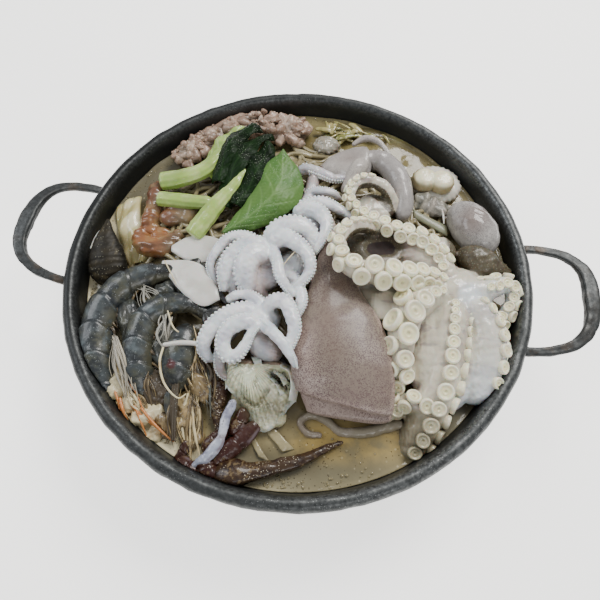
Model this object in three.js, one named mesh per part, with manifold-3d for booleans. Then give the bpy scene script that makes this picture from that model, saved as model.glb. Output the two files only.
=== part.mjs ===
// A wide cast-iron hot pot with two loop handles, filled with seafood noodle soup.
// Millimetres, +Z up. The origin is the middle of the pot's flat base, and the handles lie along X.
// The seafood is heaped on a mound of noodles that stands just out of the soup.
import * as THREE from 'three';
import { mergeVertices } from 'three/addons/utils/BufferGeometryUtils.js';
import Module from 'manifold-3d';

const wasm = await Module();
wasm.setup();

// ---------- driving sizes ----------

const RIM_RADIUS = 180;
const RIM_WIDTH = 9;
const POT_HEIGHT = 75;
const BASE_RADIUS = 152;
const FLOOR_THICKNESS = 4;
const WALL_THICKNESS = 3;
const POT_SIDES = 44;

const HANDLE_SPAN = 88;
const HANDLE_REACH = 40;
const HANDLE_RISE = 14;
const HANDLE_ROOT_HEIGHT = 61;

const SOUP_LEVEL = 56;
const SINK = 4; // how deep the floating pieces dip into the soup
const GAP = 0.3; // between pieces that touch
const ROOM_HEIGHT = 140; // the space above the pot that the heap may fill

const BED_CENTRE = [-5, 15];
const BED_HALF_LENGTH = 140;
const BED_HALF_WIDTH = 120;
const BED_HEIGHT = 17;

const UP = new THREE.Vector3(0, 0, 1);

// ---------- solids ----------

// A closed geometry as a solid, with shared corners joined and flat slivers dropped.
function solid(geometry) {
  geometry.deleteAttribute('normal');
  geometry.deleteAttribute('uv');
  const merged = mergeVertices(geometry, 1e-3);
  const faces = [];
  for (let i = 0; i < merged.index.count; i += 3) {
    const [a, b, c] = [0, 1, 2].map((k) => merged.index.getX(i + k));
    if (a !== b && b !== c && c !== a) faces.push(a, b, c);
  }
  return new wasm.Manifold(
    new wasm.Mesh({
      numProp: 3,
      vertProperties: new Float32Array(merged.attributes.position.array),
      triVerts: new Uint32Array(faces),
    }),
  );
}

function join(solids) {
  return solids.reduce((whole, next) => whole.add(next));
}

// The largest connected surface of a solid, as a geometry. Loose scraps and sealed hollows go.
function largestShell(whole) {
  const { vertProperties, triVerts, numProp } = whole.getMesh();
  const home = Array.from({ length: vertProperties.length / numProp }, (_, i) => i);
  const find = (i) => {
    while (home[i] !== i) i = home[i] = home[home[i]];
    return i;
  };
  for (let i = 0; i < triVerts.length; i += 3) {
    home[find(triVerts[i])] = find(triVerts[i + 1]);
    home[find(triVerts[i + 1])] = find(triVerts[i + 2]);
  }
  const corner = (i) => new THREE.Vector3().fromArray(vertProperties, i * numProp);
  const volumes = new Map();
  for (let i = 0; i < triVerts.length; i += 3) {
    const [a, b, c] = [0, 1, 2].map((k) => corner(triVerts[i + k]));
    const root = find(triVerts[i]);
    volumes.set(root, (volumes.get(root) ?? 0) + a.dot(b.cross(c)));
  }
  const [best] = [...volumes].sort((p, q) => q[1] - p[1])[0];
  const places = [];
  for (const vertex of triVerts) {
    if (find(vertex) === best) places.push(...corner(vertex).toArray());
  }
  const geometry = new THREE.BufferGeometry();
  geometry.setAttribute('position', new THREE.Float32BufferAttribute(places, 3));
  const merged = mergeVertices(geometry, 1e-4);
  merged.computeVertexNormals();
  return merged;
}

// A value read off a list that is spread evenly from 0 to 1.
function along(list, t) {
  const place = THREE.MathUtils.clamp(t, 0, 1) * (list.length - 1);
  const step = Math.min(Math.floor(place), list.length - 2);
  return list.length === 1 ? list[0] : THREE.MathUtils.lerp(list[step], list[step + 1], place - step);
}

function curveThrough(route) {
  return new THREE.CatmullRomCurve3(route.map((p) => new THREE.Vector3(...p)), false, 'centripetal');
}

// Point, sideways direction and upward direction at a fraction t of a curve.
function frameAt(curve, t) {
  const point = curve.getPointAt(t);
  const ahead = curve.getTangentAt(t);
  const side = new THREE.Vector3().crossVectors(UP, ahead).normalize();
  const top = new THREE.Vector3().crossVectors(ahead, side);
  return { point, ahead, side, top };
}

// A tapering body round a route. The radii are spread evenly from its start to its end, squash
// flattens it, ridges are the steps of a segmented shell, and caps are the lengths of its two
// rounded ends as a share of the radius there. The result makes the body, thickened by grow.
function bodyAlong(route, radii, options = {}) {
  const { sides = 8, rows = 10, squash = 1, ridges = 0, ridgeDepth = 0.1, caps = [1, 1] } = options;
  return (grow = 0) => {
    const curve = curveThrough(route);
    const length = curve.getLength();
    const geometry = new THREE.SphereGeometry(1, sides, rows);
    const { position, uv } = geometry.attributes;
    for (let i = 0; i < position.count; i++) {
      const row = 1 - uv.getY(i);
      const share = (row + (1 - Math.cos(Math.PI * row)) / 2) / 2;
      const distance = share * (length + 2 * grow) - grow;
      const t = THREE.MathUtils.clamp(distance / length, 0, 1);
      const { point, ahead, side, top } = frameAt(curve, t);
      let radius = along(radii, t);
      if (ridges) radius *= 1 - ridgeDepth * ((t * ridges) % 1);
      radius += grow;
      const ends = [distance + grow, length + grow - distance];
      ends.forEach((fromEnd, k) => {
        const reach = caps[k] * radius;
        if (fromEnd < reach) radius *= Math.sqrt(1 - (1 - fromEnd / reach) ** 2);
      });
      const turn = uv.getX(i) * 2 * Math.PI;
      point.addScaledVector(ahead, distance - t * length);
      if (row > 0 && row < 1) {
        point.addScaledVector(side, -Math.cos(turn) * radius);
        point.addScaledVector(top, Math.sin(turn) * (radius * squash + grow * (1 - squash)));
      }
      position.setXYZ(i, ...point.toArray());
    }
    return solid(geometry);
  };
}

// A rounded lump. size holds its half lengths, yaw and pitch turn it, and rough makes it uneven.
function lump(centre, size, options = {}) {
  const { yaw = 0, pitch = 0, rough = 0, sides = 10, rows = 7, seed = 1 } = options;
  return (grow = 0) => {
    const geometry = new THREE.SphereGeometry(1, sides, rows);
    const { position } = geometry.attributes;
    const turned = new THREE.Euler(0, pitch, yaw, 'ZYX');
    for (let i = 0; i < position.count; i++) {
      const p = new THREE.Vector3().fromBufferAttribute(position, i);
      const ripple = Math.sin(p.x * 5 + seed) * Math.cos(p.y * 4.3 - seed) * Math.cos(p.z * 4.7 + 2 * seed);
      const grown = new THREE.Vector3(...size).addScalar(grow);
      p.multiplyScalar(1 + rough * ripple).multiply(grown).applyEuler(turned);
      position.setXYZ(i, p.x + centre[0], p.y + centre[1], p.z + centre[2]);
    }
    return solid(geometry);
  };
}

// A thin wavy sheet between two edges, both run from its base to its tip. Its two faces are split
// into triangles alike. bulge lifts its middle, and wave ripples it along its length.
function sheet(edgeA, edgeB, options = {}) {
  const { thick = 2, bulge = 0, wave = 0, waves = 2, across = 4, lengthwise = 8 } = options;
  return (grow = 0) => {
    const [a, b] = [curveThrough(edgeA), curveThrough(edgeB)];
    const plane = new THREE.PlaneGeometry(1, 1, across, lengthwise);
    const { uv } = plane.attributes;
    const middle = (u, v) => {
      const p = a.getPoint(v).lerp(b.getPoint(v), u);
      p.z += 4 * bulge * u * (1 - u) + wave * Math.sin(2 * Math.PI * waves * v + 3 * u);
      return p;
    };
    const corners = [];
    for (const face of [1, -1]) {
      for (let i = 0; i < uv.count; i++) {
        const [u, v] = [uv.getX(i), uv.getY(i)];
        const step = 0.01;
        const alongU = middle(u + step, v).sub(middle(u - step, v)).normalize();
        const alongV = middle(u, Math.min(v + step, 1)).sub(middle(u, Math.max(v - step, 0))).normalize();
        const normal = new THREE.Vector3().crossVectors(alongU, alongV).normalize();
        const p = middle(u, v).addScaledVector(normal, face * (thick / 2 + grow));
        if (u === 0 || u === 1) p.addScaledVector(alongU, (2 * u - 1) * grow);
        if (v === 0 || v === 1) p.addScaledVector(alongV, (2 * v - 1) * grow);
        corners.push(...p.toArray());
      }
    }
    const at = (ix, iy) => ix + iy * (across + 1);
    const rim = [];
    for (let ix = 0; ix < across; ix++) rim.push(at(ix, lengthwise));
    for (let iy = lengthwise; iy > 0; iy--) rim.push(at(across, iy));
    for (let ix = across; ix > 0; ix--) rim.push(at(ix, 0));
    for (let iy = 0; iy < lengthwise; iy++) rim.push(at(0, iy));
    const faces = [];
    for (let i = 0; i < plane.index.count; i += 3) {
      const [p, q, r] = [0, 1, 2].map((k) => plane.index.getX(i + k));
      faces.push(p, q, r, p + uv.count, r + uv.count, q + uv.count);
    }
    rim.forEach((p, i) => {
      const q = rim[(i + 1) % rim.length];
      faces.push(p + uv.count, q + uv.count, q, p + uv.count, q, p);
    });
    const geometry = new THREE.BufferGeometry();
    geometry.setAttribute('position', new THREE.Float32BufferAttribute(corners, 3));
    geometry.setIndex(faces);
    const made = solid(geometry);
    return made.volume() < 0 ? solid(turnedInsideOut(geometry)) : made;
  };
}

function turnedInsideOut(geometry) {
  const index = geometry.index;
  for (let i = 0; i < index.count; i += 3) {
    const swapped = index.getX(i + 1);
    index.setX(i + 1, index.getX(i + 2));
    index.setX(i + 2, swapped);
  }
  return geometry;
}

// A solid turned round the Z axis from a profile of [radius, height] points.
function turned(profile, sides) {
  const points = profile.map(([radius, height]) => new THREE.Vector2(radius, height));
  const geometry = new THREE.LatheGeometry(points, sides);
  geometry.rotateX(Math.PI / 2);
  return solid(geometry);
}

function union(...makers) {
  return (grow = 0) => join(makers.map((make) => make(grow)));
}

// ---------- the pot ----------

const INNER_RADIUS = RIM_RADIUS - RIM_WIDTH - 2;

function potProfile() {
  const outer = RIM_RADIUS;
  const inner = INNER_RADIUS;
  const top = POT_HEIGHT;
  return [
    [0, 0],
    [BASE_RADIUS, 0],
    [BASE_RADIUS + 13, 9],
    [inner + WALL_THICKNESS, top - 14],
    [outer - 1, top - 10],
    [outer, top - 4],
    [outer - 3.5, top],
    [inner + 2.5, top - 0.5],
    [inner, top - 6],
    [BASE_RADIUS + 9, 12],
    [BASE_RADIUS - 2, FLOOR_THICKNESS],
    [0, FLOOR_THICKNESS],
  ];
}

// The inner face of the wall leans out evenly from the curve of the floor up to the rim.
function wallRadius(height) {
  return THREE.MathUtils.mapLinear(height, 12, POT_HEIGHT - 6, BASE_RADIUS + 9, INNER_RADIUS);
}

// The pot's inside, from a chosen level up, kept clear of the wall by inset.
function inside(level, inset) {
  return turned([
    [0, level],
    [wallRadius(level) - inset, level],
    [INNER_RADIUS - inset, POT_HEIGHT - 6],
    [INNER_RADIUS - inset, ROOM_HEIGHT],
    [0, ROOM_HEIGHT],
  ], POT_SIDES);
}

// A flat strap bent into a loop, rising as it leaves the pot. side is 1 on the right, -1 on the left.
function handle(side) {
  const squareness = 0.68;
  const root = RIM_RADIUS - RIM_WIDTH - 4;
  const route = [];
  const steps = 12;
  for (let i = 0; i <= steps; i++) {
    const turn = (Math.PI * i) / steps;
    const out = Math.abs(Math.sin(turn)) ** squareness;
    const span = Math.sign(Math.cos(turn)) * Math.abs(Math.cos(turn)) ** squareness;
    const reach = root + out * (HANDLE_REACH + RIM_WIDTH + 4);
    route.push([side * reach, (side * span * HANDLE_SPAN) / 2, HANDLE_ROOT_HEIGHT + HANDLE_RISE * out]);
  }
  return bodyAlong(route, [3.6, 3.6, 4.6, 6, 4.6, 3.6, 3.6], { rows: 14, squash: 0.62, caps: [0.2, 0.2] });
}

// ---------- soup and noodles ----------

// The noodle mound is a shallow dome with steeper sides. It stands in the soup as deep as the pieces do.
function noodleBed(grow = 0) {
  const foot = SOUP_LEVEL - SINK - grow;
  const rings = [1, 0.92, 0.8, 0.62, 0.36, 0];
  const dome = rings.map((share) => [share, SOUP_LEVEL + grow + BED_HEIGHT * (1 - share ** 3)]);
  const profile = [[0, foot], [1, foot], ...dome].map(([share, height]) => new THREE.Vector2(share, height));
  const geometry = new THREE.LatheGeometry(profile, 18);
  geometry.rotateX(Math.PI / 2);
  geometry.scale(BED_HALF_LENGTH + grow, BED_HALF_WIDTH + grow, 1);
  geometry.translate(...BED_CENTRE, 0);
  return solid(geometry);
}

// ---------- octopus ----------

const SUCKER_SIDES = 6;
const SUCKER_PITCH = 3.1; // the step along a row, in sucker radii

// One sucker: a round cup that widens from a short stalk, with a dimple in the middle.
function sucker(centre, axis, radius) {
  const profile = [[0, -1.1], [1, 0.1], [0, -0.2]].map(([out, high]) => new THREE.Vector2(out, high));
  const geometry = new THREE.LatheGeometry(profile, SUCKER_SIDES);
  geometry.rotateX(Math.PI / 2);
  geometry.scale(radius, radius, radius);
  geometry.applyQuaternion(new THREE.Quaternion().setFromUnitVectors(UP, axis));
  geometry.translate(...centre.toArray());
  return solid(geometry);
}

// Two staggered rows of suckers on the face of an arm. They face away from a centre and upward.
function suckersAlong({ route, radii, cups }) {
  const curve = curveThrough(route);
  const length = curve.getLength();
  const made = [];
  for (const row of [-1, 1]) {
    let t = cups.from + (row > 0 ? 0.5 : 0) * ((SUCKER_PITCH * cups.sizes[0]) / length);
    while (t < cups.to) {
      const share = (t - cups.from) / (cups.to - cups.from);
      const size = along(cups.sizes, share);
      const { point, ahead } = frameAt(curve, t);
      const away = new THREE.Vector3(point.x - cups.centre[0], point.y - cups.centre[1], 0).normalize();
      const face = away.addScaledVector(UP, along(cups.lift, share)).projectOnPlane(ahead).normalize();
      const across = new THREE.Vector3().crossVectors(ahead, face);
      const radius = along(radii, t);
      const axis = face.clone().addScaledVector(across, 0.55 * row).normalize();
      made.push(sucker(point.addScaledVector(axis, radius + 0.35 * size), axis, size));
      t += (SUCKER_PITCH * size) / length;
    }
  }
  return made;
}

const OCTOPUS_ARMS = {
  // curls into the small loop at the back
  back: {
    route: [[116, -5, 76], [106, 13, 80], [89, 27, 82], [72, 29, 84], [55, 35, 86], [40, 43, 88],
      [33, 54, 89], [37, 66, 90], [47, 71, 89], [60, 69, 85], [68, 62, 78], [73, 55, 70]],
    radii: [10, 8, 7, 6, 5, 4.5, 4.5, 5, 5, 4],
    cups: { from: 0.1, to: 0.66, sizes: [4.6, 4.8, 4.6, 4.2, 3.8], centre: [50, 52], lift: [2.4, 1.6, 0.6] },
  },
  // curls into the large loop on the squid
  front: {
    route: [[120, -18, 78], [99, -10, 86], [76, -14, 93], [56, -17, 99], [40, -16, 102],
      [32, -8, 102], [30, 5, 101], [36, 17, 99], [46, 25, 92], [60, 29, 80]],
    radii: [10, 8, 8, 8, 8, 7, 6, 5.5, 5, 4],
    cups: { from: 0.14, to: 0.84, sizes: [4.4, 5.6, 6.8, 6.4, 5, 4.2], centre: [58, 8], lift: [2.6, 2, 0.6] },
  },
  inner: {
    route: [[112, -14, 80], [99, -25, 83], [89, -40, 83], [85, -54, 80], [84, -68, 75], [85, -78, 67]],
    radii: [11, 10, 9, 8, 7, 5],
    cups: { from: 0.2, to: 0.98, sizes: [5.2, 7, 7, 6, 5], centre: [150, -50], lift: [3, 3] },
  },
  long: {
    route: [[119, -15, 74], [117, -36, 73], [115, -56, 71], [113, -78, 69], [108, -98, 66], [102, -117, 63],
      [96, -133, 59]],
    radii: [14, 15, 15, 14, 13, 12, 8],
    cups: { from: 0.12, to: 0.94, sizes: [4.4, 5.2, 5.6, 5.6, 5], centre: [40, -70], lift: [0.9, 0.9] },
  },
  branch: {
    route: [[112, -88, 70], [99, -96, 69], [87, -97, 65], [87, -108, 60]],
    radii: [8, 7, 6, 5],
    cups: { from: 0.35, to: 0.98, sizes: [5.4, 4.6, 4.4], centre: [110, -90], lift: [2.5, 0.5] },
  },
  side: {
    route: [[124, -15, 73], [140, -30, 72], [145, -51, 70], [143, -71, 66], [135, -88, 60]],
    radii: [14, 14, 14, 12, 9],
    cups: { from: 0.25, to: 0.8, sizes: [4.4, 5, 5], centre: [60, -50], lift: [0.5, 0.3] },
  },
  corner: {
    route: [[126, -12, 76], [145, -4, 76], [158, 3, 74], [164, -3, 71], [161, -16, 67], [154, -27, 62]],
    radii: [10, 9, 7, 5, 5.5, 5],
    cups: { from: 0.38, to: 0.95, sizes: [4.4, 4.4, 4.2], centre: [130, -40], lift: [2, 1.5] },
  },
};

const OCTOPUS_FOLD = [[123, -8, 71], [101, 11, 74], [79, 20, 73], [67, 26, 69]];
const OCTOPUS_SKIN = [[114, 8, 69], [134, 24, 69], [150, 25, 67], [160, 20, 64]];

function octopusBody(grow = 0) {
  const limb = { sides: 7, rows: 9 };
  const arms = Object.values(OCTOPUS_ARMS).map(({ route, radii }) => bodyAlong(route, radii, limb)(grow));
  const web = lump([122, -10, 70], [27, 22, 16], { rough: 0.05, sides: 8, rows: 6 })(grow);
  const fold = bodyAlong(OCTOPUS_FOLD, [12, 12, 10, 6], limb)(grow);
  const skin = bodyAlong(OCTOPUS_SKIN, [11, 13, 10, 4], limb)(grow);
  return join([...arms, web, fold, skin]);
}

// The head is a smooth sac that lies by itself between the arms and the wall.
const octopusHead = lump([134, 53, 70], [26, 17, 16], { yaw: -0.95, sides: 10, rows: 8 });

function octopusSuckers() {
  return Object.values(OCTOPUS_ARMS).flatMap(suckersAlong);
}

// ---------- small octopuses ----------

const UPPER_BABY_ARMS = [
  [[[-27, -1, 84], [-40, 5, 86], [-53, 2, 86], [-60, -9, 84], [-63, -21, 81], [-55, -35, 76]],
    [5, 4.5, 4, 3.5, 3, 2]],
  [[[-15, -14, 86], [-31, -4, 91], [-43, -11, 91], [-49, -24, 87], [-48, -40, 79]], [7, 7.5, 7, 6, 3]],
  [[[-18, -9, 88], [-30, -13, 93], [-34, -24, 92], [-31, -33, 86], [-26, -36, 80]], [8, 9, 9, 8, 5]],
  [[[-21, -3, 86], [-17, 10, 92], [-6, 16, 94], [5, 14, 93], [11, 4, 88], [10, -3, 82]], [7, 8, 8, 7, 5, 3]],
  [[[-22, -1, 90], [-13, 3, 95], [-2, -1, 98], [9, -11, 99], [12, -21, 97], [7, -30, 93], [-1, -34, 89]],
    [7, 7, 6, 5, 4, 3.5, 2.5]],
  [[[-19, -3, 90], [-12, -18, 97], [-7, -30, 98], [-2, -36, 95], [3, -41, 89]], [5, 4.5, 4, 3.5, 3]],
  [[[-9, 26, 84], [1, 31, 88], [12, 29, 92], [21, 20, 94], [21, 8, 94], [15, -5, 90]],
    [6, 6.5, 6, 4.5, 3.5, 2.5]],
  [[[-8, 42, 78], [1, 44, 83], [12, 46, 86], [25, 42, 86], [35, 38, 84], [43, 33, 80]], [5, 5.5, 5, 4, 3, 2]],
  [[[-4, 56, 75], [1, 61, 78], [10, 62, 80], [19, 62, 79], [25, 59, 75]], [3, 3.5, 3.5, 3, 2]],
  [[[-15, 84, 73], [-8, 87, 75], [5, 84, 76], [17, 80, 76], [27, 83, 75], [33, 93, 73]],
    [4, 4.5, 4.5, 4, 3, 2]],
  [[[-12, -20, 80], [3, -22, 86], [14, -32, 90], [19, -44, 94], [18, -55, 93]], [5, 5, 4, 4, 2.5]],
];

const LOWER_BABY_ARMS = [
  [[[-13, -49, 82], [-24, -44, 86], [-35, -43, 86], [-44, -48, 82]], [4, 4, 3.5, 2.5]],
  [[[-21, -52, 84], [-34, -57, 87], [-45, -66, 86], [-51, -76, 83], [-52, -85, 79], [-45, -92, 74]],
    [6, 6, 6, 5.5, 4.5, 3]],
  [[[-17, -62, 88], [-28, -66, 91], [-36, -72, 90], [-38, -81, 87], [-34, -88, 84], [-28, -88, 85],
    [-23, -81, 88], [-20, -71, 90], [-15, -63, 91]], [6, 5.5, 5.5, 5, 5, 4.5, 3.5, 3, 2.5]],
  [[[-17, -56, 82], [-9, -48, 93], [-1, -49, 97], [5, -57, 98], [9, -67, 97], [8, -77, 94], [7, -83, 88]],
    [5, 5, 5.5, 5, 4.5, 3.5, 2.5]],
  [[[-17, -60, 82], [-6, -70, 95], [3, -78, 97], [10, -85, 94], [14, -90, 87]], [5.5, 4.5, 4, 3.5, 2]],
];

const UPPER_BABY_BODY = [
  lump([-22, -16, 79], [16, 18, 10], { sides: 7, rows: 5 }),
  bodyAlong([[-20, -5, 78], [-6, 30, 77], [0, 60, 74], [0, 85, 71]], [8, 8, 6, 5], { sides: 6, rows: 5 }),
];

const LOWER_BABY_BODY = [
  lump([-16, -57, 80], [13, 13, 11], { sides: 7, rows: 5 }),
  bodyAlong([[-24, -62, 77], [-13, -75, 76], [2, -81, 74]], [8, 9, 6], { sides: 6, rows: 6 }),
];

function babyOctopus(arms, bodies) {
  const limbs = arms.map(([route, radii]) => bodyAlong(route, radii, { sides: 6, rows: 6 }));
  return union(...limbs, ...bodies);
}

// ---------- squids ----------

const MANTLE_ROUTE = [[21, 33, 84], [24, 9, 84], [32, -28, 84], [40, -60, 81], [48, -86, 75], [55, -105, 70]];
const MANTLE_LIP_ROUTE = [[40, -60, 76], [48, -87, 70], [57, -111, 63]];

// The mantle is a flattened sleeve. Its lower lip shows past the open end.
const mantle = union(
  bodyAlong(MANTLE_ROUTE, [3, 14, 24, 30, 33, 34, 33, 32],
    { sides: 11, rows: 9, squash: 0.48, caps: [1, 0.15] }),
  bodyAlong(MANTLE_LIP_ROUTE, [28, 29, 29], { sides: 10, rows: 4, squash: 0.26, caps: [0.3, 0.1] }),
);

const smallSquid = union(
  bodyAlong(
    [[40, 87, 72], [42, 104, 73], [53, 107, 73], [66, 97, 74], [74, 79, 75], [77, 61, 75], [77, 49, 72]],
    [6, 8, 9, 9.5, 9, 8, 5],
    { sides: 8, rows: 8 },
  ),
  sheet([[4, 105, 68], [17, 120, 66], [33, 124, 66]], [[10, 92, 69], [23, 90, 69], [40, 98, 68]],
    { thick: 3, bulge: 3, across: 3, lengthwise: 5 }),
);

// The tip of an arm lies curled on the soup.
const tentacle = bodyAlong(
  [[93, -108, 58], [81, -113, 58], [66, -119, 58], [50, -121, 58], [38, -115, 59], [27, -114, 59],
    [22, -120, 58], [28, -126, 58], [38, -126, 58]],
  [3.5, 4, 4, 3.5, 3, 3, 2.5, 2.5, 2],
  { sides: 5, rows: 11 },
);

// ---------- prawns ----------

const PRAWN_SHELL = { sides: 8, rows: 12, ridges: 7, ridgeDepth: 0.14, squash: 0.92 };

const outerPrawn = bodyAlong(
  [[-84, -25, 72], [-105, -29, 71], [-126, -41, 69], [-137, -61, 67], [-136, -84, 66], [-127, -106, 66],
    [-116, -122, 64], [-106, -134, 59]],
  [4, 8, 11, 12, 12.5, 12.5, 11, 8, 3],
  PRAWN_SHELL,
);

const innerPrawn = bodyAlong(
  [[-56, -57, 71], [-70, -52, 73], [-87, -53, 73], [-101, -64, 70], [-103, -84, 68], [-97, -105, 66],
    [-88, -121, 63], [-82, -129, 59]],
  [5, 6, 9, 10.5, 11, 11, 10, 7, 3],
  PRAWN_SHELL,
);

const shortPrawn = bodyAlong(
  [[-69, -66, 72], [-70, -82, 71], [-69, -99, 69], [-67, -115, 63]],
  [6, 9, 10, 10.5, 9, 3],
  { ...PRAWN_SHELL, ridges: 3, rows: 8 },
);

// ---------- crab ----------

const crabBody = union(
  lump([-8, -104, 66], [25, 27, 13], { yaw: 0.3, rough: 0.12, sides: 9, rows: 6, seed: 2 }),
  lump([-22, -92, 70], [11, 15, 9], { yaw: -0.4, rough: 0.1, seed: 5, sides: 7, rows: 5 }),
);

const CRAB_LEGS = {
  crab_leg_back: { route: [[-58, -84, 65], [-50, -100, 63], [-42, -116, 60]], radii: [4, 5, 4.5, 3] },
  crab_leg_middle: { route: [[-44, -110, 62], [-36, -123, 60], [-29, -137, 58]], radii: [4, 5, 5, 3.5] },
  crab_leg_pale: {
    route: [[-28, -113, 64], [-29, -127, 62], [-29, -141, 60], [-37, -153, 58], [-46, -161, 57]],
    radii: [3.5, 4, 4, 4.5, 3.5, 1],
  },
  crab_leg_tip: { route: [[-50, -144, 60], [-54, -153, 58], [-59, -160, 57]], radii: [4, 3.5, 1] },
  crab_leg_short: { route: [[-16, -117, 66], [-19, -127, 64], [-23, -137, 61]], radii: [4, 5, 4] },
  crab_leg_front: {
    route: [[-6, -125, 63], [-16, -139, 62], [-26, -150, 61], [-31, -158, 59]],
    radii: [4, 6, 6, 4],
  },
};

const crabClaw = bodyAlong(
  [[-29, -162, 61], [-19, -161, 61], [-5, -158, 61], [10, -152, 60], [26, -145, 60], [41, -135, 59],
    [53, -128, 59]],
  [5, 9, 6, 5.4, 4.6, 3.4, 2.6, 1.2],
  { sides: 7, rows: 9 },
);

// ---------- shellfish ----------

const musselShell = bodyAlong(
  [[-156, 8, 73], [-153, -5, 71], [-149, -23, 65], [-144, -41, 57]],
  [2, 10, 14, 15, 13, 8],
  { sides: 9, rows: 8, squash: 0.62 },
);

const oyster = lump([5, 125, 64], [12, 10, 7], { rough: 0.12, seed: 4, sides: 8, rows: 6 });

// The scallop's meat is two round halves that sit in its shell.
const SCALLOP = {
  meat: union(
    lump([94, 98, 67], [11, 11, 9], { sides: 8, rows: 6 }),
    lump([108, 98, 67], [11, 11, 9], { sides: 8, rows: 6 }),
  ),
  shell: lump([105, 101, 60], [22, 20, 6], { sides: 10, rows: 4 }),
  skirt: lump([101, 76, 61], [16, 10, 6], { rough: 0.1, sides: 8, rows: 5 }),
};

const SEA_SQUIRTS = {
  sea_squirt_long: bodyAlong(
    [[-134, 60, 62], [-131, 36, 65], [-127, 14, 62]],
    [4, 7, 6, 3],
    { sides: 7, rows: 7 },
  ),
  sea_squirt_round: lump([-106, 25, 69], [11, 9, 8], { yaw: 0.5, rough: 0.06, sides: 8, rows: 6 }),
  sea_squirt_low: lump([-121, 1, 64], [10, 9, 7], { rough: 0.06, seed: 3, sides: 8, rows: 6 }),
};

// ---------- vegetables ----------

const LEAF = { thick: 2, across: 3, lengthwise: 6 };

const paleLeaf = sheet(
  [[-57, 11, 80], [-50, 32, 85], [-43, 56, 86], [-35, 84, 84]],
  [[-55, 9, 79], [-28, 23, 80], [-9, 42, 81], [-7, 62, 82], [-17, 80, 82], [-30, 88, 83]],
  { ...LEAF, bulge: 4, wave: 0.8, across: 4, lengthwise: 8 },
);

const darkLeaf = union(
  sheet(
    [[-75, 26, 76], [-79, 56, 78], [-81, 80, 79], [-77, 105, 79], [-68, 117, 78]],
    [[-62, 23, 77], [-48, 45, 80], [-38, 70, 81], [-39, 94, 81], [-50, 113, 79]],
    { ...LEAF, bulge: 5, wave: 1.2 },
  ),
  bodyAlong([[-88, 9, 74], [-79, 22, 77], [-69, 41, 80], [-57, 58, 83], [-49, 76, 85], [-55, 98, 83]],
    [7, 6.5, 6, 4.5, 3, 2], { sides: 6, rows: 5, squash: 0.6 }),
);

const rearLeaf = union(
  sheet(
    [[-102, 70, 72], [-95, 84, 74], [-90, 105, 75], [-81, 122, 73]],
    [[-84, 65, 73], [-77, 86, 76], [-63, 105, 77], [-63, 123, 74]],
    { ...LEAF, bulge: 3, wave: 1.5, lengthwise: 5 },
  ),
  bodyAlong([[-128, 64, 70], [-111, 65, 71], [-96, 82, 73], [-82, 104, 76]], [7, 6.5, 5, 3],
    { sides: 6, rows: 5, squash: 0.7 }),
);

const stalk = bodyAlong(
  [[-122, 44, 76], [-99, 44, 75], [-78, 44, 76]],
  [5.5, 5.5, 4.5],
  { squash: 0.7, rows: 6 },
);

const SLICE = { thick: 3, across: 3, lengthwise: 5 };

const SLICES = {
  slice_upper: sheet(
    [[-101, -3, 70], [-89, 6, 72], [-72, 9, 73], [-62, 6, 73]],
    [[-100, -8, 70], [-83, -15, 71], [-70, -13, 71], [-60, 1, 73]],
    { ...SLICE, bulge: 1 },
  ),
  slice_lower: sheet(
    [[-104, -18, 71], [-85, -16, 74], [-70, -20, 77], [-54, -37, 78]],
    [[-102, -24, 71], [-77, -46, 77], [-60, -53, 78], [-50, -46, 78]],
    { ...SLICE, bulge: 1.5 },
  ),
};

const cabbagePiece = sheet(
  [[-162, 34, 57], [-159, 19, 58], [-147, -3, 58], [-134, -20, 57]],
  [[-145, 46, 60], [-136, 20, 62], [-122, -4, 60], [-121, -17, 58]],
  { thick: 5, bulge: 3, wave: 1, across: 2, lengthwise: 5 },
);

const greenStrip = sheet(
  [[86, 67, 66], [101, 61, 65], [115, 56, 64]],
  [[87, 59, 65], [102, 52, 65], [116, 46, 64]],
  { thick: 2, bulge: 1, across: 2, lengthwise: 3 },
);

const SPROUT_ROUTE = [[-81, -87, 79], [-67, -84, 82], [-54, -82, 80]];

const FLAT_NOODLE = { thick: 2.4, across: 1, lengthwise: 4, wave: 0.5 };

const FLAT_NOODLES = {
  noodle_left: sheet(
    [[-16, -131, 57], [-9, -139, 57], [-2, -147, 56.5]],
    [[-8, -134, 57], [-1, -142, 57], [6, -149, 56.5]],
    FLAT_NOODLE,
  ),
  noodle_right: sheet(
    [[-8, -125, 57], [2, -132, 57.5], [13, -141, 57]],
    [[0, -122, 57], [10, -130, 57.5], [21, -138, 57]],
    FLAT_NOODLE,
  ),
};

// ---------- heaps ----------

// A seeded random draw from 0 to 1.
function draws(seed) {
  let state = seed;
  return () => {
    state = (state * 1103515245 + 12345) % 2147483648;
    return state / 2147483648;
  };
}

// Minced meat or the like: a plain core with crumbs of uneven size fused all over it.
function heapAlong(route, coreRadii, { count, sizes, seed, core = {} }) {
  const curve = curveThrough(route);
  return (grow = 0) => {
    const draw = draws(seed);
    const pieces = [bodyAlong(route, coreRadii, core)(grow)];
    for (let i = 0; i < count; i++) {
      const t = (i + 0.2 + 0.6 * draw()) / count;
      const { point, side, top } = frameAt(curve, t);
      const radius = along(coreRadii, t);
      const lean = (draw() - 0.5) * 2;
      const size = sizes[0] + (sizes[1] - sizes[0]) * draw() + grow;
      point.addScaledVector(side, Math.sin(lean) * radius).addScaledVector(top, Math.cos(lean) * radius * 0.9);
      point.z = Math.max(point.z, SOUP_LEVEL + 1.2 * size);
      const crumb = new THREE.IcosahedronGeometry(size, 0);
      crumb.rotateX(draw() * 3);
      crumb.rotateY(draw() * 3);
      crumb.scale(1, 1.15, 0.85);
      crumb.translate(...point.toArray());
      pieces.push(solid(crumb));
    }
    return join(pieces);
  };
}

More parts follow.
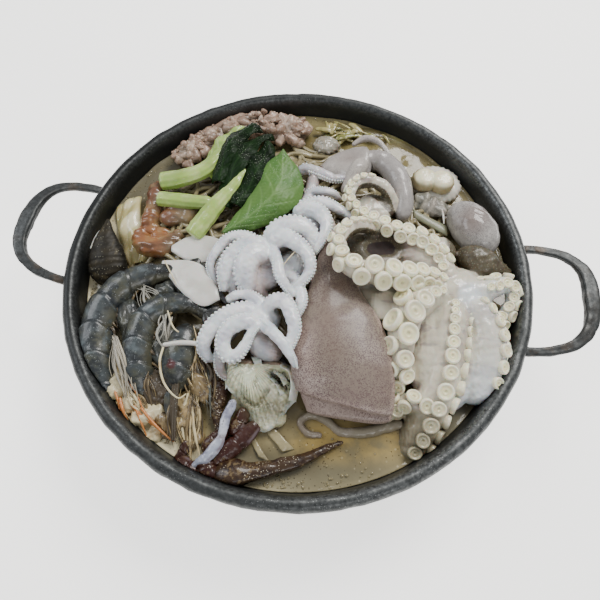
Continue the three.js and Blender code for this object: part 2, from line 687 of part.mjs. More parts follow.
const mincedMeat = heapAlong(
  [[-126, 88, 58], [-110, 109, 60], [-91, 131, 60], [-66, 142, 60], [-38, 140, 60], [-15, 135, 58]],
  [8, 10, 11, 12, 13, 11, 8],
  { count: 8, sizes: [10, 12.5], seed: 11, core: { sides: 7, rows: 6 } },
);

const backGreens = heapAlong(
  [[0, 139, 57], [25, 152, 57], [55, 155, 57], [82, 146, 57], [103, 130, 56]],
  [8, 9, 9, 9, 7],
  { count: 5, sizes: [8, 10], seed: 23, core: { squash: 0.7, sides: 6, rows: 6 } },
);

// ---------- colours ----------

const COLOURS = {
  iron: ['#3b3d3d', 0.45, 0.7],
  soup: ['#a59a6e', 0.15, 0],
  noodle: ['#cfc7a8', 0.4, 0],
  octopus: ['#d9d6c4', 0.35, 0],
  baby: ['#dcdde2', 0.35, 0],
  squid: ['#9a8884', 0.3, 0],
  paleSquid: ['#9d9794', 0.3, 0],
  prawn: ['#4c545c', 0.25, 0],
  crabFlesh: ['#c9c6a9', 0.35, 0],
  crabShell: ['#5e4632', 0.35, 0],
  palePearl: ['#b9c1cf', 0.3, 0],
  leafDark: ['#24401c', 0.45, 0],
  leafPale: ['#5c8a3c', 0.45, 0],
  stem: ['#a9c26a', 0.4, 0],
  white: ['#dcd9cf', 0.4, 0],
  cream: ['#d8cf9e', 0.35, 0],
  orange: ['#93552f', 0.3, 0],
  meat: ['#a08876', 0.5, 0],
  mussel: ['#2f2a20', 0.3, 0],
};

// ---------- putting it together ----------

const part = new THREE.Group();
const placed = [];

function add(name, colour, geometry) {
  const [color, roughness, metalness] = COLOURS[colour];
  const mesh = new THREE.Mesh(geometry, new THREE.MeshStandardMaterial({ color, roughness, metalness }));
  mesh.name = name;
  part.add(mesh);
}

function boxOf(made) {
  return new THREE.Box3().setFromArray(made.getMesh().vertProperties);
}

// A solid cut clear of the pieces in a list.
function clearOf(body, others) {
  const box = boxOf(body);
  const near = others.filter((other) => other.box.intersectsBox(box));
  return near.reduce((left, other) => left.subtract(other.grown), body);
}

// Cuts a piece clear of all the pieces placed before it and of the pot, and keeps its own room clear.
// The soup and the later pieces are cut round it. The result is the piece as a solid.
function settle(make, depth = SINK) {
  const body = clearOf(make(0).intersect(inside(SOUP_LEVEL - depth, GAP)), placed);
  const grown = make(GAP).intersect(inside(SOUP_LEVEL - depth - GAP, 0));
  placed.push({ grown, box: boxOf(grown) });
  return body;
}

function settled(name, colour, make) {
  add(name, colour, largestShell(settle(make)));
}

// A small piece lies on the soup instead of dipping into it.
function afloat(name, colour, make) {
  add(name, colour, largestShell(settle(make, -GAP)));
}

const pot = turned(potProfile(), POT_SIDES);
add('pot_body', 'iron', largestShell(pot));
const potShadow = turned([
  [0, 0],
  [INNER_RADIUS + WALL_THICKNESS + GAP, 0],
  [INNER_RADIUS + WALL_THICKNESS + GAP, POT_HEIGHT - 14 - GAP],
  [RIM_RADIUS - 1 + GAP, POT_HEIGHT - 10 - GAP],
  [RIM_RADIUS + GAP, POT_HEIGHT],
  [0, POT_HEIGHT],
], POT_SIDES);
for (const [name, side] of [['handle_left', -1], ['handle_right', 1]]) {
  add(name, 'iron', largestShell(handle(side)().subtract(potShadow)));
}

settled('noodle_bed', 'noodle', noodleBed);
const octopus = settle(octopusBody);
const octopusRoom = placed.at(-1);
settled('baby_octopus_upper', 'baby', babyOctopus(UPPER_BABY_ARMS, UPPER_BABY_BODY));
settled('baby_octopus_lower', 'baby', babyOctopus(LOWER_BABY_ARMS, LOWER_BABY_BODY));
settled('squid_mantle', 'squid', mantle);
settled('leaf_pale', 'leafPale', paleLeaf);
settled('leaf_dark', 'leafDark', darkLeaf);
settled('leaf_rear', 'stem', rearLeaf);
settled('stalk', 'stem', stalk);
settled('slice_lower', 'white', SLICES.slice_lower);
settled('slice_upper', 'white', SLICES.slice_upper);
settled('octopus_head', 'paleSquid', octopusHead);
settled('squid_small', 'paleSquid', smallSquid);
settled('scallop', 'cream', SCALLOP.meat);
settled('scallop_shell', 'white', SCALLOP.shell);
afloat('scallop_skirt', 'paleSquid', SCALLOP.skirt);
settled('green_strip', 'stem', greenStrip);
settled('sprout', 'white', bodyAlong(SPROUT_ROUTE, [1.6, 1.8, 1.6], { sides: 5, rows: 5 }));
settled('prawn_inner', 'prawn', innerPrawn);
settled('prawn_short', 'prawn', shortPrawn);
settled('prawn_outer', 'prawn', outerPrawn);
afloat('crab_claw', 'crabShell', crabClaw);
for (const [name, { route, radii }] of Object.entries(CRAB_LEGS)) {
  const colour = name === 'crab_leg_pale' ? 'palePearl' : 'crabShell';
  afloat(name, colour, bodyAlong(route, radii, { sides: 6, rows: 5 }));
}
settled('crab_body', 'crabFlesh', crabBody);
settled('mussel', 'mussel', musselShell);
for (const [name, make] of Object.entries(SEA_SQUIRTS)) settled(name, 'orange', make);
settled('cabbage_piece', 'cream', cabbagePiece);
settled('minced_meat', 'meat', mincedMeat);
afloat('oyster', 'paleSquid', oyster);
settled('back_greens', 'cream', backGreens);
afloat('tentacle', 'paleSquid', tentacle);
for (const [name, make] of Object.entries(FLAT_NOODLES)) afloat(name, 'noodle', make);

// The octopus's suckers come last: each one that meets another piece is cut back from it.
const cups = clearOf(join(octopusSuckers()).intersect(inside(SOUP_LEVEL + GAP, GAP)),
  placed.filter((other) => other !== octopusRoom));
add('octopus', 'octopus', largestShell(octopus.add(cups)));

// The soup fills the pot up to its level, round everything that dips into it.
let soup = turned([
  [0, FLOOR_THICKNESS + GAP],
  [BASE_RADIUS - 2 - GAP, FLOOR_THICKNESS + GAP],
  [BASE_RADIUS + 9 - GAP, 12],
  [wallRadius(SOUP_LEVEL) - GAP, SOUP_LEVEL],
  [0, SOUP_LEVEL],
], POT_SIDES);
for (const { grown } of placed) {
  soup = soup.subtract(grown);
}
add('soup', 'soup', largestShell(soup));

export default part;
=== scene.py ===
"""A cast-iron hot pot of seafood noodle soup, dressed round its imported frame.

Lengths are millimetres until a mesh is made, and the routes lie in the frame of the solids.
+X runs to the right handle and +Y to the back of the pot.
"""
import math

import bpy
import numpy as np
from mathutils import Matrix, Vector


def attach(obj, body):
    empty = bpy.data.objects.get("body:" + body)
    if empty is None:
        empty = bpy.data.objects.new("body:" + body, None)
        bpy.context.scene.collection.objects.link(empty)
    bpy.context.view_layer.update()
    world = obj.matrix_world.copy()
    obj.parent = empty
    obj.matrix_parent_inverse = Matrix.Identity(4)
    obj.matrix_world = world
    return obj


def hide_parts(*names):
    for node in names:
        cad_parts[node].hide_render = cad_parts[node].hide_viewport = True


bl_info = {
    "name": "Seafood Noodle Soup in a Hot Pot",
    "version": (1, 0, 0),
    "blender": (4, 5, 0),
    "location": "View3D > Sidebar > Hot Pot",
    "description": "Pot, broth and seafood of a noodle soup, with their finishes, light and camera",
    "category": "Object",
}

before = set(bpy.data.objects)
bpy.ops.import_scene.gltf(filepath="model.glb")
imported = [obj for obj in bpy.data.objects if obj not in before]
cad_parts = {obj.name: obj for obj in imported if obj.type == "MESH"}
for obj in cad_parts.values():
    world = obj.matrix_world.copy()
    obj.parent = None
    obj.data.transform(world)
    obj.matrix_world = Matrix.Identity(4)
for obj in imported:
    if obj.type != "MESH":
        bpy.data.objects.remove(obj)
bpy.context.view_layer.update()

MM = 0.001
UP = np.array([0.0, 0.0, 1.0])

RIM_RADIUS = 180.0
POT_HEIGHT = 75.0
BASE_RADIUS = 152.0
INNER_RADIUS = 169.0
FLOOR = 4.0
SOUP_LEVEL = 56.0
SOUP_RADIUS = 166.9
BED_CENTRE = np.array([-5.0, 15.0])
BED_HALF = np.array([140.0, 120.0])
BED_HEIGHT = 17.0
# The wall leans out from its foot, by so much for every millimetre up.
WALL_FOOT = 12.0
WALL_LEAN = 0.14
# The solids' heights are read on a grid, and what lies up to a crevice's depth below them gets painted shade,
# tinted like broth.
HEIGHT_STEP = 2.0
HEIGHT_REACH = 184.0
HEIGHT_BLUR = 2.6
RAY_START = 300.0
CREVICE_DEPTH = 9.0


# ---------- shapes ----------


class Shape:
    """Points in millimetres, their faces, and named values for every point."""

    def __init__(self, points, quads=(), tris=(), **fields):
        self.points = np.asarray(points, float).reshape(-1, 3)
        self.quads = np.asarray(quads, int).reshape(-1, 4)
        self.tris = np.asarray(tris, int).reshape(-1, 3)
        self.fields = {}
        self.mark(**fields)

    def mark(self, **fields):
        for name, values in fields.items():
            self.fields[name] = np.ones(len(self.points)) * np.asarray(values, float).reshape(-1)
        return self

    def moved(self, offset):
        self.points = self.points + offset
        return self

    def pushed(self, amount):
        """Every point moves along its normal by amount."""
        self.points = self.points + self.normals() * np.asarray(amount).reshape(-1, 1)
        return self

    def welded(self):
        """Joins points that coincide, and drops the faces that this closes up."""
        _, kept, home = np.unique(self.points.round(4), axis=0, return_index=True, return_inverse=True)
        quads, tris = home.reshape(-1)[self.quads], home.reshape(-1)[self.tris]
        flat = [[a for k, a in enumerate(face) if a != face[k - 1]] for face in quads.tolist()]
        corners = [[face for face in flat if len(face) == count] for count in (3, 4)]
        fields = {name: values[kept] for name, values in self.fields.items()}
        return Shape(self.points[kept], corners[1], [*tris.tolist(), *corners[0]], **fields)

    def outward(self):
        """Turns the faces of one closed shape outward."""
        a, b, c, d = (self.points[self.quads[:, k]] for k in range(4))
        volume = (np.cross(a, b) * c).sum() + (np.cross(a, c) * d).sum()
        if volume < 0:
            self.quads = self.quads[:, ::-1]
            self.tris = self.tris[:, ::-1]
        return self

    def normals(self):
        total = np.zeros_like(self.points)
        for faces in (self.quads, self.tris):
            if len(faces):
                a, b, c = (self.points[faces[:, k]] for k in (0, 1, 2))
                d = self.points[faces[:, -1]]
                flat = np.cross(c - a, d - b) if faces.shape[1] == 4 else np.cross(b - a, c - a)
                for k in range(faces.shape[1]):
                    np.add.at(total, faces[:, k], flat)
        return unit(total)


def join(shapes):
    shapes = list(shapes)
    names = {name for shape in shapes for name in shape.fields}
    starts = np.cumsum([0] + [len(shape.points) for shape in shapes])
    whole = Shape(
        np.vstack([shape.points for shape in shapes]),
        np.vstack([shape.quads + start for shape, start in zip(shapes, starts)]),
        np.vstack([shape.tris + start for shape, start in zip(shapes, starts)]),
    )
    for name in names:
        parts = [shape.fields.get(name, np.zeros(len(shape.points))) for shape in shapes]
        whole.fields[name] = np.concatenate(parts)
    return whole


def unit(vectors):
    length = np.linalg.norm(vectors, axis=-1, keepdims=True)
    return vectors / np.maximum(length, 1e-9)


def step(value, low, high):
    """0 below low, 1 above high, and smooth between."""
    share = np.clip((value - low) / (high - low), 0, 1)
    return share * share * (3 - 2 * share)


def ripple(points, size, seed, octaves=3):
    """Smooth uneven values between about -1 and 1, for bumps about size millimetres wide."""
    draw = np.random.default_rng(seed)
    total = np.zeros(len(points))
    for octave in range(octaves):
        ways = unit(draw.normal(size=(6, 3))) * (3.2 * 2**octave / size)
        turns = draw.uniform(0, 2 * np.pi, 6)
        total += np.sin(points @ ways.T + turns).sum(1) / (2.6 * 1.8**octave)
    return total


def smooth_line(route, shares):
    """Points at shares of the length of a smooth curve through a route, and its length."""
    route = np.asarray(route, float)
    ends = np.vstack([2 * route[0] - route[1], route, 2 * route[-1] - route[-2]])
    u = np.linspace(0, 1, 20, endpoint=False)[:, None]
    dense = []
    for a, b, c, d in zip(ends, ends[1:], ends[2:], ends[3:]):
        ab, bc, cd = (math.sqrt(max(np.linalg.norm(q - p), 1e-6)) for p, q in ((a, b), (b, c), (c, d)))
        start = c - b + bc * ((b - a) / ab - (c - a) / (ab + bc))
        end = c - b + bc * ((d - c) / cd - (d - b) / (bc + cd))
        dense.append(
            b + start * u + (3 * (c - b) - 2 * start - end) * u**2 + (2 * (b - c) + start + end) * u**3
        )
    dense = np.vstack([*dense, route[-1:]])
    run = np.concatenate([[0], np.cumsum(np.linalg.norm(np.diff(dense, axis=0), axis=1))])
    at = np.asarray(shares) * run[-1]
    return np.stack([np.interp(at, run, dense[:, k]) for k in range(3)], -1), run[-1]


def frames(line):
    """Directions along a line, to its left and to its upper side."""
    ahead = unit(np.gradient(line, axis=0))
    left = unit(np.cross(UP, ahead))
    return ahead, left, np.cross(ahead, left)


def spread(values, shares):
    """Values that are spread evenly from 0 to 1, read smoothly at shares."""
    values = np.atleast_1d(np.asarray(values, float))
    if len(values) == 1:
        return np.full(len(shares), values[0])
    curve = np.column_stack([np.linspace(0, 100, len(values)), values, np.zeros(len(values))])
    line, _ = smooth_line(curve, np.linspace(0, 1, 200))
    return np.interp(np.asarray(shares) * 100, line[:, 0], line[:, 1])


def lattice(points, around=False, **fields):
    """A surface through a grid of points [row, column]. around closes each row into a ring."""
    rows, columns = points.shape[:2]
    at = np.arange(rows * columns).reshape(rows, columns)
    if around:
        at = np.concatenate([at, at[:, :1]], axis=1)
    quads = np.stack([at[:-1, :-1], at[:-1, 1:], at[1:, 1:], at[1:, :-1]], -1)
    flat = {name: np.broadcast_to(value, (rows, columns)).reshape(-1) for name, value in fields.items()}
    return Shape(points, quads, **flat)


def capped(body, sides, tips):
    """Closes both ends of a surface of rings, each with a fan of triangles round its tip."""
    count = len(body.points)
    first, last = np.arange(sides), count - sides + np.arange(sides)
    fans = np.vstack([
        np.stack([np.full(sides, count), np.roll(first, -1), first], -1),
        np.stack([np.full(sides, count + 1), last, np.roll(last, -1)], -1),
    ])
    fields = {name: np.append(values, [values[0], values[-1]]) for name, values in body.fields.items()}
    return Shape(np.vstack([body.points, tips]), body.quads, fans, **fields)


def tube(route, radii, sides=20, rows=48, squash=1.0, ends=(1.0, 1.0), swell=None):
    """A tapering body round a route, with rounded ends. swell(along, angle) scales its radius.

    along runs from 0 to 1, and angle is 0 on the left and a quarter turn on top.
    """
    even = np.linspace(0, 1, rows)
    along = (even + (1 - np.cos(np.pi * even)) / 2) / 2
    line, length = smooth_line(route, along)
    ahead, left, top = frames(line)
    radius = spread(radii, along)
    for end, distance in zip(ends, (along * length, (1 - along) * length)):
        reach = np.maximum(end * radius, 1e-6)
        short = np.clip(1 - distance / reach, 0, 1)
        radius = radius * np.sqrt(1 - short**2)
    angle = np.arange(sides) * 2 * np.pi / sides
    size = radius[:, None] * (swell(along[:, None], angle[None]) if swell else np.ones((1, sides)))
    ring = (left[:, None] * np.cos(angle)[None, :, None]
            + top[:, None] * (np.sin(angle) * squash)[None, :, None])
    grid = line[:, None] + ring * size[..., None]
    body = lattice(grid[1:-1], True, along=along[1:-1, None], turn=angle[None] / (2 * np.pi))
    return capped(body, sides, [line[0], line[-1]])


def turned(profile, sides):
    """A closed profile of [radius, height] points turned round the Z axis."""
    profile = np.asarray(profile, float)
    angle = np.arange(sides) * 2 * np.pi / sides
    x = profile[:, None, 0] * np.cos(angle)
    y = profile[:, None, 0] * np.sin(angle)
    grid = np.stack([x, y, np.broadcast_to(profile[:, None, 1], x.shape)], -1)
    return lattice(grid, True).welded()


def rounded(profile, steps=5):
    """A profile with its corners rounded by repeated cutting."""
    profile = np.asarray(profile, float)
    for _ in range(steps):
        cut = [profile[:1]]
        for a, b in zip(profile, profile[1:]):
            reach = min(0.25, 2.0 / max(np.linalg.norm(b - a), 1e-6))
            cut += [[a + (b - a) * reach], [b - (b - a) * reach]]
        profile = np.vstack([*cut, profile[-1:]])
    return profile


def ball(centre, half, sides=24, rows=16, yaw=0.0, pitch=0.0):
    """A rounded lump with half lengths half, turned by yaw and pitch."""
    even = np.linspace(0, np.pi, rows)[1:-1]
    angle = np.arange(sides) * 2 * np.pi / sides
    ring = np.stack(
        [np.sin(even)[:, None] * np.cos(angle), np.sin(even)[:, None] * np.sin(angle),
         np.broadcast_to(np.cos(even)[:, None], (rows - 2, sides))], -1)
    shape = capped(lattice(ring[:, ::-1], True), sides, [[0, 0, 1], [0, 0, -1]])
    turn = np.array(Matrix.Rotation(yaw, 3, "Z") @ Matrix.Rotation(pitch, 3, "Y"))
    shape.mark(height=shape.points[:, 2])
    shape.points = (shape.points * half) @ turn.T + centre
    return shape


def sheet(edge_a, edge_b, across=24, lengthwise=48, thick=1.2, lift=None):
    """A thin leaf between two edges, both run from its base to its tip. lift(u, v) raises it."""
    u = np.linspace(0, 1, across)
    v = np.linspace(0, 1, lengthwise)
    a, b = smooth_line(edge_a, v)[0], smooth_line(edge_b, v)[0]
    middle = a[:, None] + (b - a)[:, None] * u[None, :, None]
    gridded_u, gridded_v = np.meshgrid(u, v)
    if lift:
        middle[..., 2] += lift(gridded_u, gridded_v)
    normal = unit(np.cross(np.gradient(middle, axis=1), np.gradient(middle, axis=0)))
    if normal[..., 2].mean() < 0:
        normal = -normal
    thin = thick / 2 * np.sqrt(np.clip(1 - np.abs(2 * gridded_u - 1) ** 6, 0.05, 1))
    thin = thin * np.sqrt(np.clip(1 - np.abs(2 * gridded_v - 1) ** 12, 0.05, 1))
    upper = middle + normal * thin[..., None]
    lower = middle - normal * thin[..., None]
    loop = np.concatenate([upper, lower[:, ::-1]], axis=1)
    us = np.concatenate([gridded_u, gridded_u[:, ::-1]], axis=1)
    vs = np.concatenate([gridded_v, gridded_v], axis=1)
    body = lattice(loop, True, u=us, v=vs)
    columns = loop.shape[1]
    last = (lengthwise - 1) * columns
    closing = []
    for k in range(across - 1):
        closing += [[k + 1, k, columns - 1 - k, columns - 2 - k],
                    [last + k, last + k + 1, last + columns - 2 - k, last + columns - 1 - k]]
    return Shape(body.points, np.vstack([body.quads, closing]), **body.fields).outward()


def mesh_of(name, shape):
    """A mesh in metres, with a shape's named values kept as attributes."""
    mesh = bpy.data.meshes.new(name)
    sizes = np.concatenate([np.full(len(shape.quads), 4), np.full(len(shape.tris), 3)])
    corners = np.concatenate([shape.quads.reshape(-1), shape.tris.reshape(-1)])
    mesh.vertices.add(len(shape.points))
    mesh.vertices.foreach_set("co", (shape.points * MM).astype(np.float32).reshape(-1))
    mesh.loops.add(len(corners))
    mesh.loops.foreach_set("vertex_index", corners.astype(np.int32))
    mesh.polygons.add(len(sizes))
    mesh.polygons.foreach_set("loop_start", (np.cumsum(sizes) - sizes).astype(np.int32))
    mesh.polygons.foreach_set("use_smooth", np.ones(len(sizes), bool))
    for field, values in shape.fields.items():
        layer = mesh.attributes.new(field, "FLOAT", "POINT")
        layer.data.foreach_set("value", values.astype(np.float32))
    mesh.update(calc_edges=True)
    mesh.validate()
    return mesh


def fused(shapes, grain, soften=6):
    """One smooth skin round closed shapes that overlap. grain is the size of its faces."""
    rough = bpy.data.objects.new("fusing", mesh_of("fusing", join(shapes)))
    bpy.context.scene.collection.objects.link(rough)
    remesh = rough.modifiers.new("skin", "REMESH")
    remesh.mode = "VOXEL"
    remesh.voxel_size = grain * MM
    smooth = rough.modifiers.new("soften", "SMOOTH")
    smooth.factor = 0.5
    smooth.iterations = soften
    made = bpy.data.meshes.new_from_object(rough.evaluated_get(bpy.context.evaluated_depsgraph_get()))
    points = np.empty(len(made.vertices) * 3, np.float32)
    made.vertices.foreach_get("co", points)
    starts, sizes = (np.empty(len(made.polygons), np.int32) for _ in range(2))
    made.polygons.foreach_get("loop_start", starts)
    made.polygons.foreach_get("loop_total", sizes)
    corners = np.empty(len(made.loops), np.int32)
    made.loops.foreach_get("vertex_index", corners)
    quads = corners[starts[sizes == 4][:, None] + np.arange(4)]
    tris = corners[starts[sizes == 3][:, None] + np.arange(3)]
    bpy.data.objects.remove(rough)
    bpy.data.meshes.remove(made)
    return Shape(points.reshape(-1, 3) / MM, quads, tris)


def nearness(points, route, reach):
    """1 on a route, falling smoothly to 0 at the distance reach from it."""
    line, _ = smooth_line(route, np.linspace(0, 1, 60))
    nearest = np.full(len(points), np.inf)
    for place in line:
        nearest = np.minimum(nearest, ((points - place) ** 2).sum(1))
    return 1 - step(np.sqrt(nearest), 0, reach)


def soft_heights():
    """How high the solids reach over a grid, softened over about a centimetre."""
    graph = bpy.context.evaluated_depsgraph_get()
    ticks = np.arange(-HEIGHT_REACH, HEIGHT_REACH + 1, HEIGHT_STEP)
    heights = np.full((len(ticks), len(ticks)), SOUP_LEVEL)
    for i, x in enumerate(ticks):
        for j, y in enumerate(ticks):
            hit, place, *_ = bpy.context.scene.ray_cast(graph, (x * MM, y * MM, RAY_START * MM), (0, 0, -1))
            if hit and math.hypot(x, y) < INNER_RADIUS:
                heights[i, j] = max(place.z / MM, SOUP_LEVEL)
    weights = np.exp(-0.5 * (np.arange(-6, 7) / HEIGHT_BLUR) ** 2)
    for axis in (0, 1):
        heights = np.apply_along_axis(np.convolve, axis, heights, weights / weights.sum(), "same")
    return heights


HEIGHTS = soft_heights()


def sunk(points):
    """0 where points stand proud of what lies round them, and 1 deep down in a crevice; this is the mask of
    the painted crevice shade.
    """
    i, j = np.clip(((points[:, :2] + HEIGHT_REACH) / HEIGHT_STEP).round().astype(int), 0, len(HEIGHTS) - 1).T
    return step(HEIGHTS[i, j] - points[:, 2], -0.5, CREVICE_DEPTH)


def inside_wall(points):
    """Points that would reach into the pot's wall, drawn in until they touch it."""
    limit = BASE_RADIUS + 8.5 + (points[:, 2] - WALL_FOOT) * WALL_LEAN
    limit[points[:, 2] > POT_HEIGHT] = np.inf
    share = np.minimum(1, limit / np.maximum(np.hypot(points[:, 0], points[:, 1]), 1))
    return points * np.column_stack([share, share, np.ones(len(share))])


def piece(name, shape, finish, slot, replaces=()):
    """Makes a shape into an object of the pot, with its finish, and hides the solids it stands for."""
    if slot != "iron":
        shape.points = inside_wall(shape.points)
    # Every piece gets the mask of painted crevice shade, which its finish may darken it by.
    shape.mark(sunk=sunk(shape.points))
    made = bpy.data.objects.new(name, mesh_of(name, shape))
    bpy.context.scene.collection.objects.link(made)
    made.data.materials.append(finish)
    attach(made, "root")
    if replaces:
        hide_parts(*replaces)
    return made


# ---------- finishes ----------


class Wire:
    """An output of a finish's nodes, for use in Python expressions."""

    def __init__(self, finish, socket):
        self.finish = finish
        self.socket = socket

    def _with(self, operation, *values):
        return self.finish.node("ShaderNodeMath", {"operation": operation}, dict(enumerate(values)))

    def __add__(self, other):
        return self._with("ADD", self, other)

    __radd__ = __add__

    def __sub__(self, other):
        return self._with("SUBTRACT", self, other)

    def __rsub__(self, other):
        return self._with("SUBTRACT", other, self)

    def __mul__(self, other):
        return self._with("MULTIPLY", self, other)

    __rmul__ = __mul__

    def least(self, other):
        return self._with("MINIMUM", self, other)

    def step(self, low, high):
        """0 below low, 1 above high, and smooth between."""
        settings = {"interpolation_type": "SMOOTHSTEP"}
        return self.finish.node("ShaderNodeMapRange", settings, {0: self, 1: low, 2: high, 3: 0.0, 4: 1.0})


class Finish:
    """A procedural material, built up from expressions on its noise and its named point values."""

    def __init__(self, name):
        self.material = bpy.data.materials.new(name)
        self.material.use_nodes = True
        self.tree = self.material.node_tree
        self.tree.nodes.clear()
        self.place = self.node("ShaderNodeTexCoord", output="Object")

    def node(self, kind, settings=None, inputs=None, output=0):
        """Adds a node with its settings, then the values or links of its sockets."""
        made = self.tree.nodes.new(kind)
        for name, value in (settings or {}).items():
            setattr(made, name, value)
        for name, value in (inputs or {}).items():
            if isinstance(value, Wire):
                self.tree.links.new(value.socket, made.inputs[name])
            else:
                made.inputs[name].default_value = value
        return Wire(self, made.outputs[output] if made.outputs else None)

    def value(self, name):
        """A named value of the shape's points."""
        return self.node("ShaderNodeAttribute", {"attribute_name": name}, output="Fac")

    def noise(self, size, detail=3.0, rough=0.55, stretch=(1, 1, 1)):
        """Soft noise from 0 to 1, with patches about size millimetres wide."""
        at = self.place
        if stretch != (1, 1, 1):
            at = self.node("ShaderNodeMapping", None, {"Vector": at, "Scale": stretch})
        inputs = {"Vector": at, "Scale": 0.5 / (size * MM), "Detail": detail, "Roughness": rough}
        return self.node("ShaderNodeTexNoise", None, inputs)

    def patches(self, size, low, high, detail=3.0):
        """Soft-edged patches about size millimetres wide, 1 where the noise is above high."""
        return self.noise(size, detail).step(low, high)

    def dots(self, size, share=0.3, clumps=None):
        """1 on round specks that are spaced size millimetres apart, and 0 elsewhere."""
        cells = self.node("ShaderNodeTexVoronoi", None, {"Vector": self.place, "Scale": 1 / (size * MM)})
        spots = 1 - cells.step(share * 0.6, share)
        return spots * self.noise(clumps, 1.0).step(0.42, 0.6) if clumps else spots

    def mix(self, first, second, factor):
        inputs = {0: factor, 6: tint(first), 7: tint(second)}
        return self.node("ShaderNodeMix", {"data_type": "RGBA"}, inputs, output=2)

    def layered(self, base, *layers):
        """A colour with others laid over it, each given as (colour, mask)."""
        for colour, mask in layers:
            base = self.mix(base, colour, mask)
        return base

    def bump(self, height, depth, under=None):
        """A normal for relief that is depth millimetres high where height is 1."""
        inputs = {"Strength": 1.0, "Distance": depth * MM, "Height": height}
        if under:
            inputs["Normal"] = under
        return self.node("ShaderNodeBump", None, inputs)

    def done(self, colour, roughness, normal=None, broth_tint_and_crevice_shade=0.75, **constants):
        """Ends the finish with its shader. soak is how strongly painted crevice shade, tinted like broth,
        darkens it.
        """
        if broth_tint_and_crevice_shade:
            # painted crevice shade, in broth brown
            colour = self.mix(colour, "#4a3f2b", self.value("sunk") * broth_tint_and_crevice_shade)
        inputs = {"Base Color": tint(colour), "Roughness": roughness}
        if normal:
            inputs["Normal"] = normal
        inputs.update({name.replace("_", " "): value for name, value in constants.items()})
        shader = self.node("ShaderNodeBsdfPrincipled", None, inputs)
        self.node("ShaderNodeOutputMaterial", None, {"Surface": shader})
        return self.material


def juicy(soft, coat, sheen=0.12, depth=0.003):
    """Shader constants of wet food: how softly light sinks in, and the film of broth over it."""
    return {"Subsurface_Weight": soft, "Subsurface_Scale": depth, "Coat_Weight": coat,
            "Coat_Roughness": sheen}


def tint(colour):
    """A colour for a socket, from a wire, a hex word or a Blender colour."""
    if isinstance(colour, Wire):
        return colour
    if isinstance(colour, str):
        parts = [int(colour[k:k + 2], 16) / 255 for k in (1, 3, 5)]
        return (tuple(part / 12.92 if part < 0.04045 else ((part + 0.055) / 1.055) ** 2.4 for part in parts)
                + (1.0,))
    return tuple(colour)[:3] + (1.0,)


# ---------- the pot ----------

POT_PROFILE = [
    [0, 0], [BASE_RADIUS, 0], [BASE_RADIUS + 13, 9], [INNER_RADIUS + 3, POT_HEIGHT - 14],
    [RIM_RADIUS - 1, POT_HEIGHT - 10], [RIM_RADIUS, POT_HEIGHT - 4], [RIM_RADIUS - 3.5, POT_HEIGHT],
    [INNER_RADIUS + 2.5, POT_HEIGHT - 0.5], [INNER_RADIUS, POT_HEIGHT - 6], [BASE_RADIUS + 9, 12],
    [BASE_RADIUS - 2, FLOOR], [0, FLOOR],
]


def iron_finish(name, colour, wear_and_glint_colour):
    """Seasoned cast iron: grainy and dark, rubbed bright along its edges with painted glints there too, and
    painted shade on the pot's left side.
    """
    f = Finish(name)
    rubbed = f.value("worn") * f.noise(1.3, 3.0, 0.6).step(0.2, 0.9)
    golden = f.value("golden") * f.patches(6.0, 0.48, 0.62)
    stains = f.patches(26.0, 0.42, 0.66, 4.0)
    tone = f.layered(
        colour,
        ("#232525", stains * 0.4),
        # painted shade: the pot's left side darkened
        ("#121414", f.value("shade") * 0.75),
        # real wear on the rim and handles, with painted glints along the inner lip, the rim's front and the
        # handles' upper faces
        (wear_and_glint_colour, (rubbed * 0.6).least(1.0)),
        ("#6b4f2e", golden * 0.35),
        # bright specks on the rubbed parts, partly real wear and partly painted glints
        ("#b9bcbb", f.dots(1.5, 0.22, clumps=9.0) * f.value("worn") * 0.6),
    )
    rough = 0.4 - rubbed * 0.12 + f.noise(7.0) * 0.1
    relief = f.noise(1.1, 3.0, 0.7) * 0.5 + f.noise(6.0, 2.0) * 0.5
    return f.done(tone, rough, f.bump(relief, 0.16), 0, Metallic=0.5)


def pot_shape():
    shape = turned(rounded(POT_PROFILE, 3), 220)
    x, y, z = shape.points.T
    radius = np.hypot(x, y)
    rim = step(z, POT_HEIGHT - 9, POT_HEIGHT - 2)
    right = step(x / RIM_RADIUS, -0.1, 0.75) + 0.7 * step(-y / RIM_RADIUS, 0.2, 0.9)
    beyond = step(radius, INNER_RADIUS + 3, INNER_RADIUS + 5)
    lip = step(radius, INNER_RADIUS - 1, INNER_RADIUS + 1) * (1 - beyond)
    # The first mask is real wear on the rim, strongest at the right, plus a painted glint along the inner lip
    # and the rim's front; the second is painted shade over the pot's left side.
    shape.mark(worn=rim * (0.05 + 0.55 * right + 0.5 * lip), shade=step(-x - 0.3 * np.abs(y), 60, 150))
    return shape.pushed(0.22 * ripple(shape.points, 11, 3))


def handle_shape(side):
    """A flat strap bent into a loop, as its solid is, with its broad faces a little hollow."""
    reach, span, rise, root = 40.0, 88.0, 14.0, RIM_RADIUS - 13
    turn = np.linspace(0, np.pi, 25)
    out = np.abs(np.sin(turn)) ** 0.68
    wide = np.sign(np.cos(turn)) * np.abs(np.cos(turn)) ** 0.68
    route = np.column_stack([side * (root + out * (reach + 13)), side * wide * span / 2, 61 + rise * out])

    def strap(along, angle):
        boxy = 1 / (np.abs(np.cos(angle)) ** 5 + np.abs(np.sin(angle)) ** 5) ** 0.2
        return boxy * 0.96 * (1 - 0.05 * np.abs(np.sin(angle)) ** 4)

    shape = tube(route, [3.6, 3.6, 4.6, 6, 4.6, 3.6, 3.6], 28, 110, 0.62, (0.2, 0.2), strap)
    along = shape.fields["along"]
    legs = 1 - step(np.minimum(along, 1 - along), 0.1, 0.34)
    # The upper faces are made lighter, as wear and painted highlight.
    shape.mark(worn=0.15 + 0.25 * step(shape.normals()[:, 2], 0.2, 0.9), golden=0.15 + 0.6 * legs)
    return shape.pushed(0.25 * ripple(shape.points, 7, 5 + side))


# ---------- broth and noodles ----------


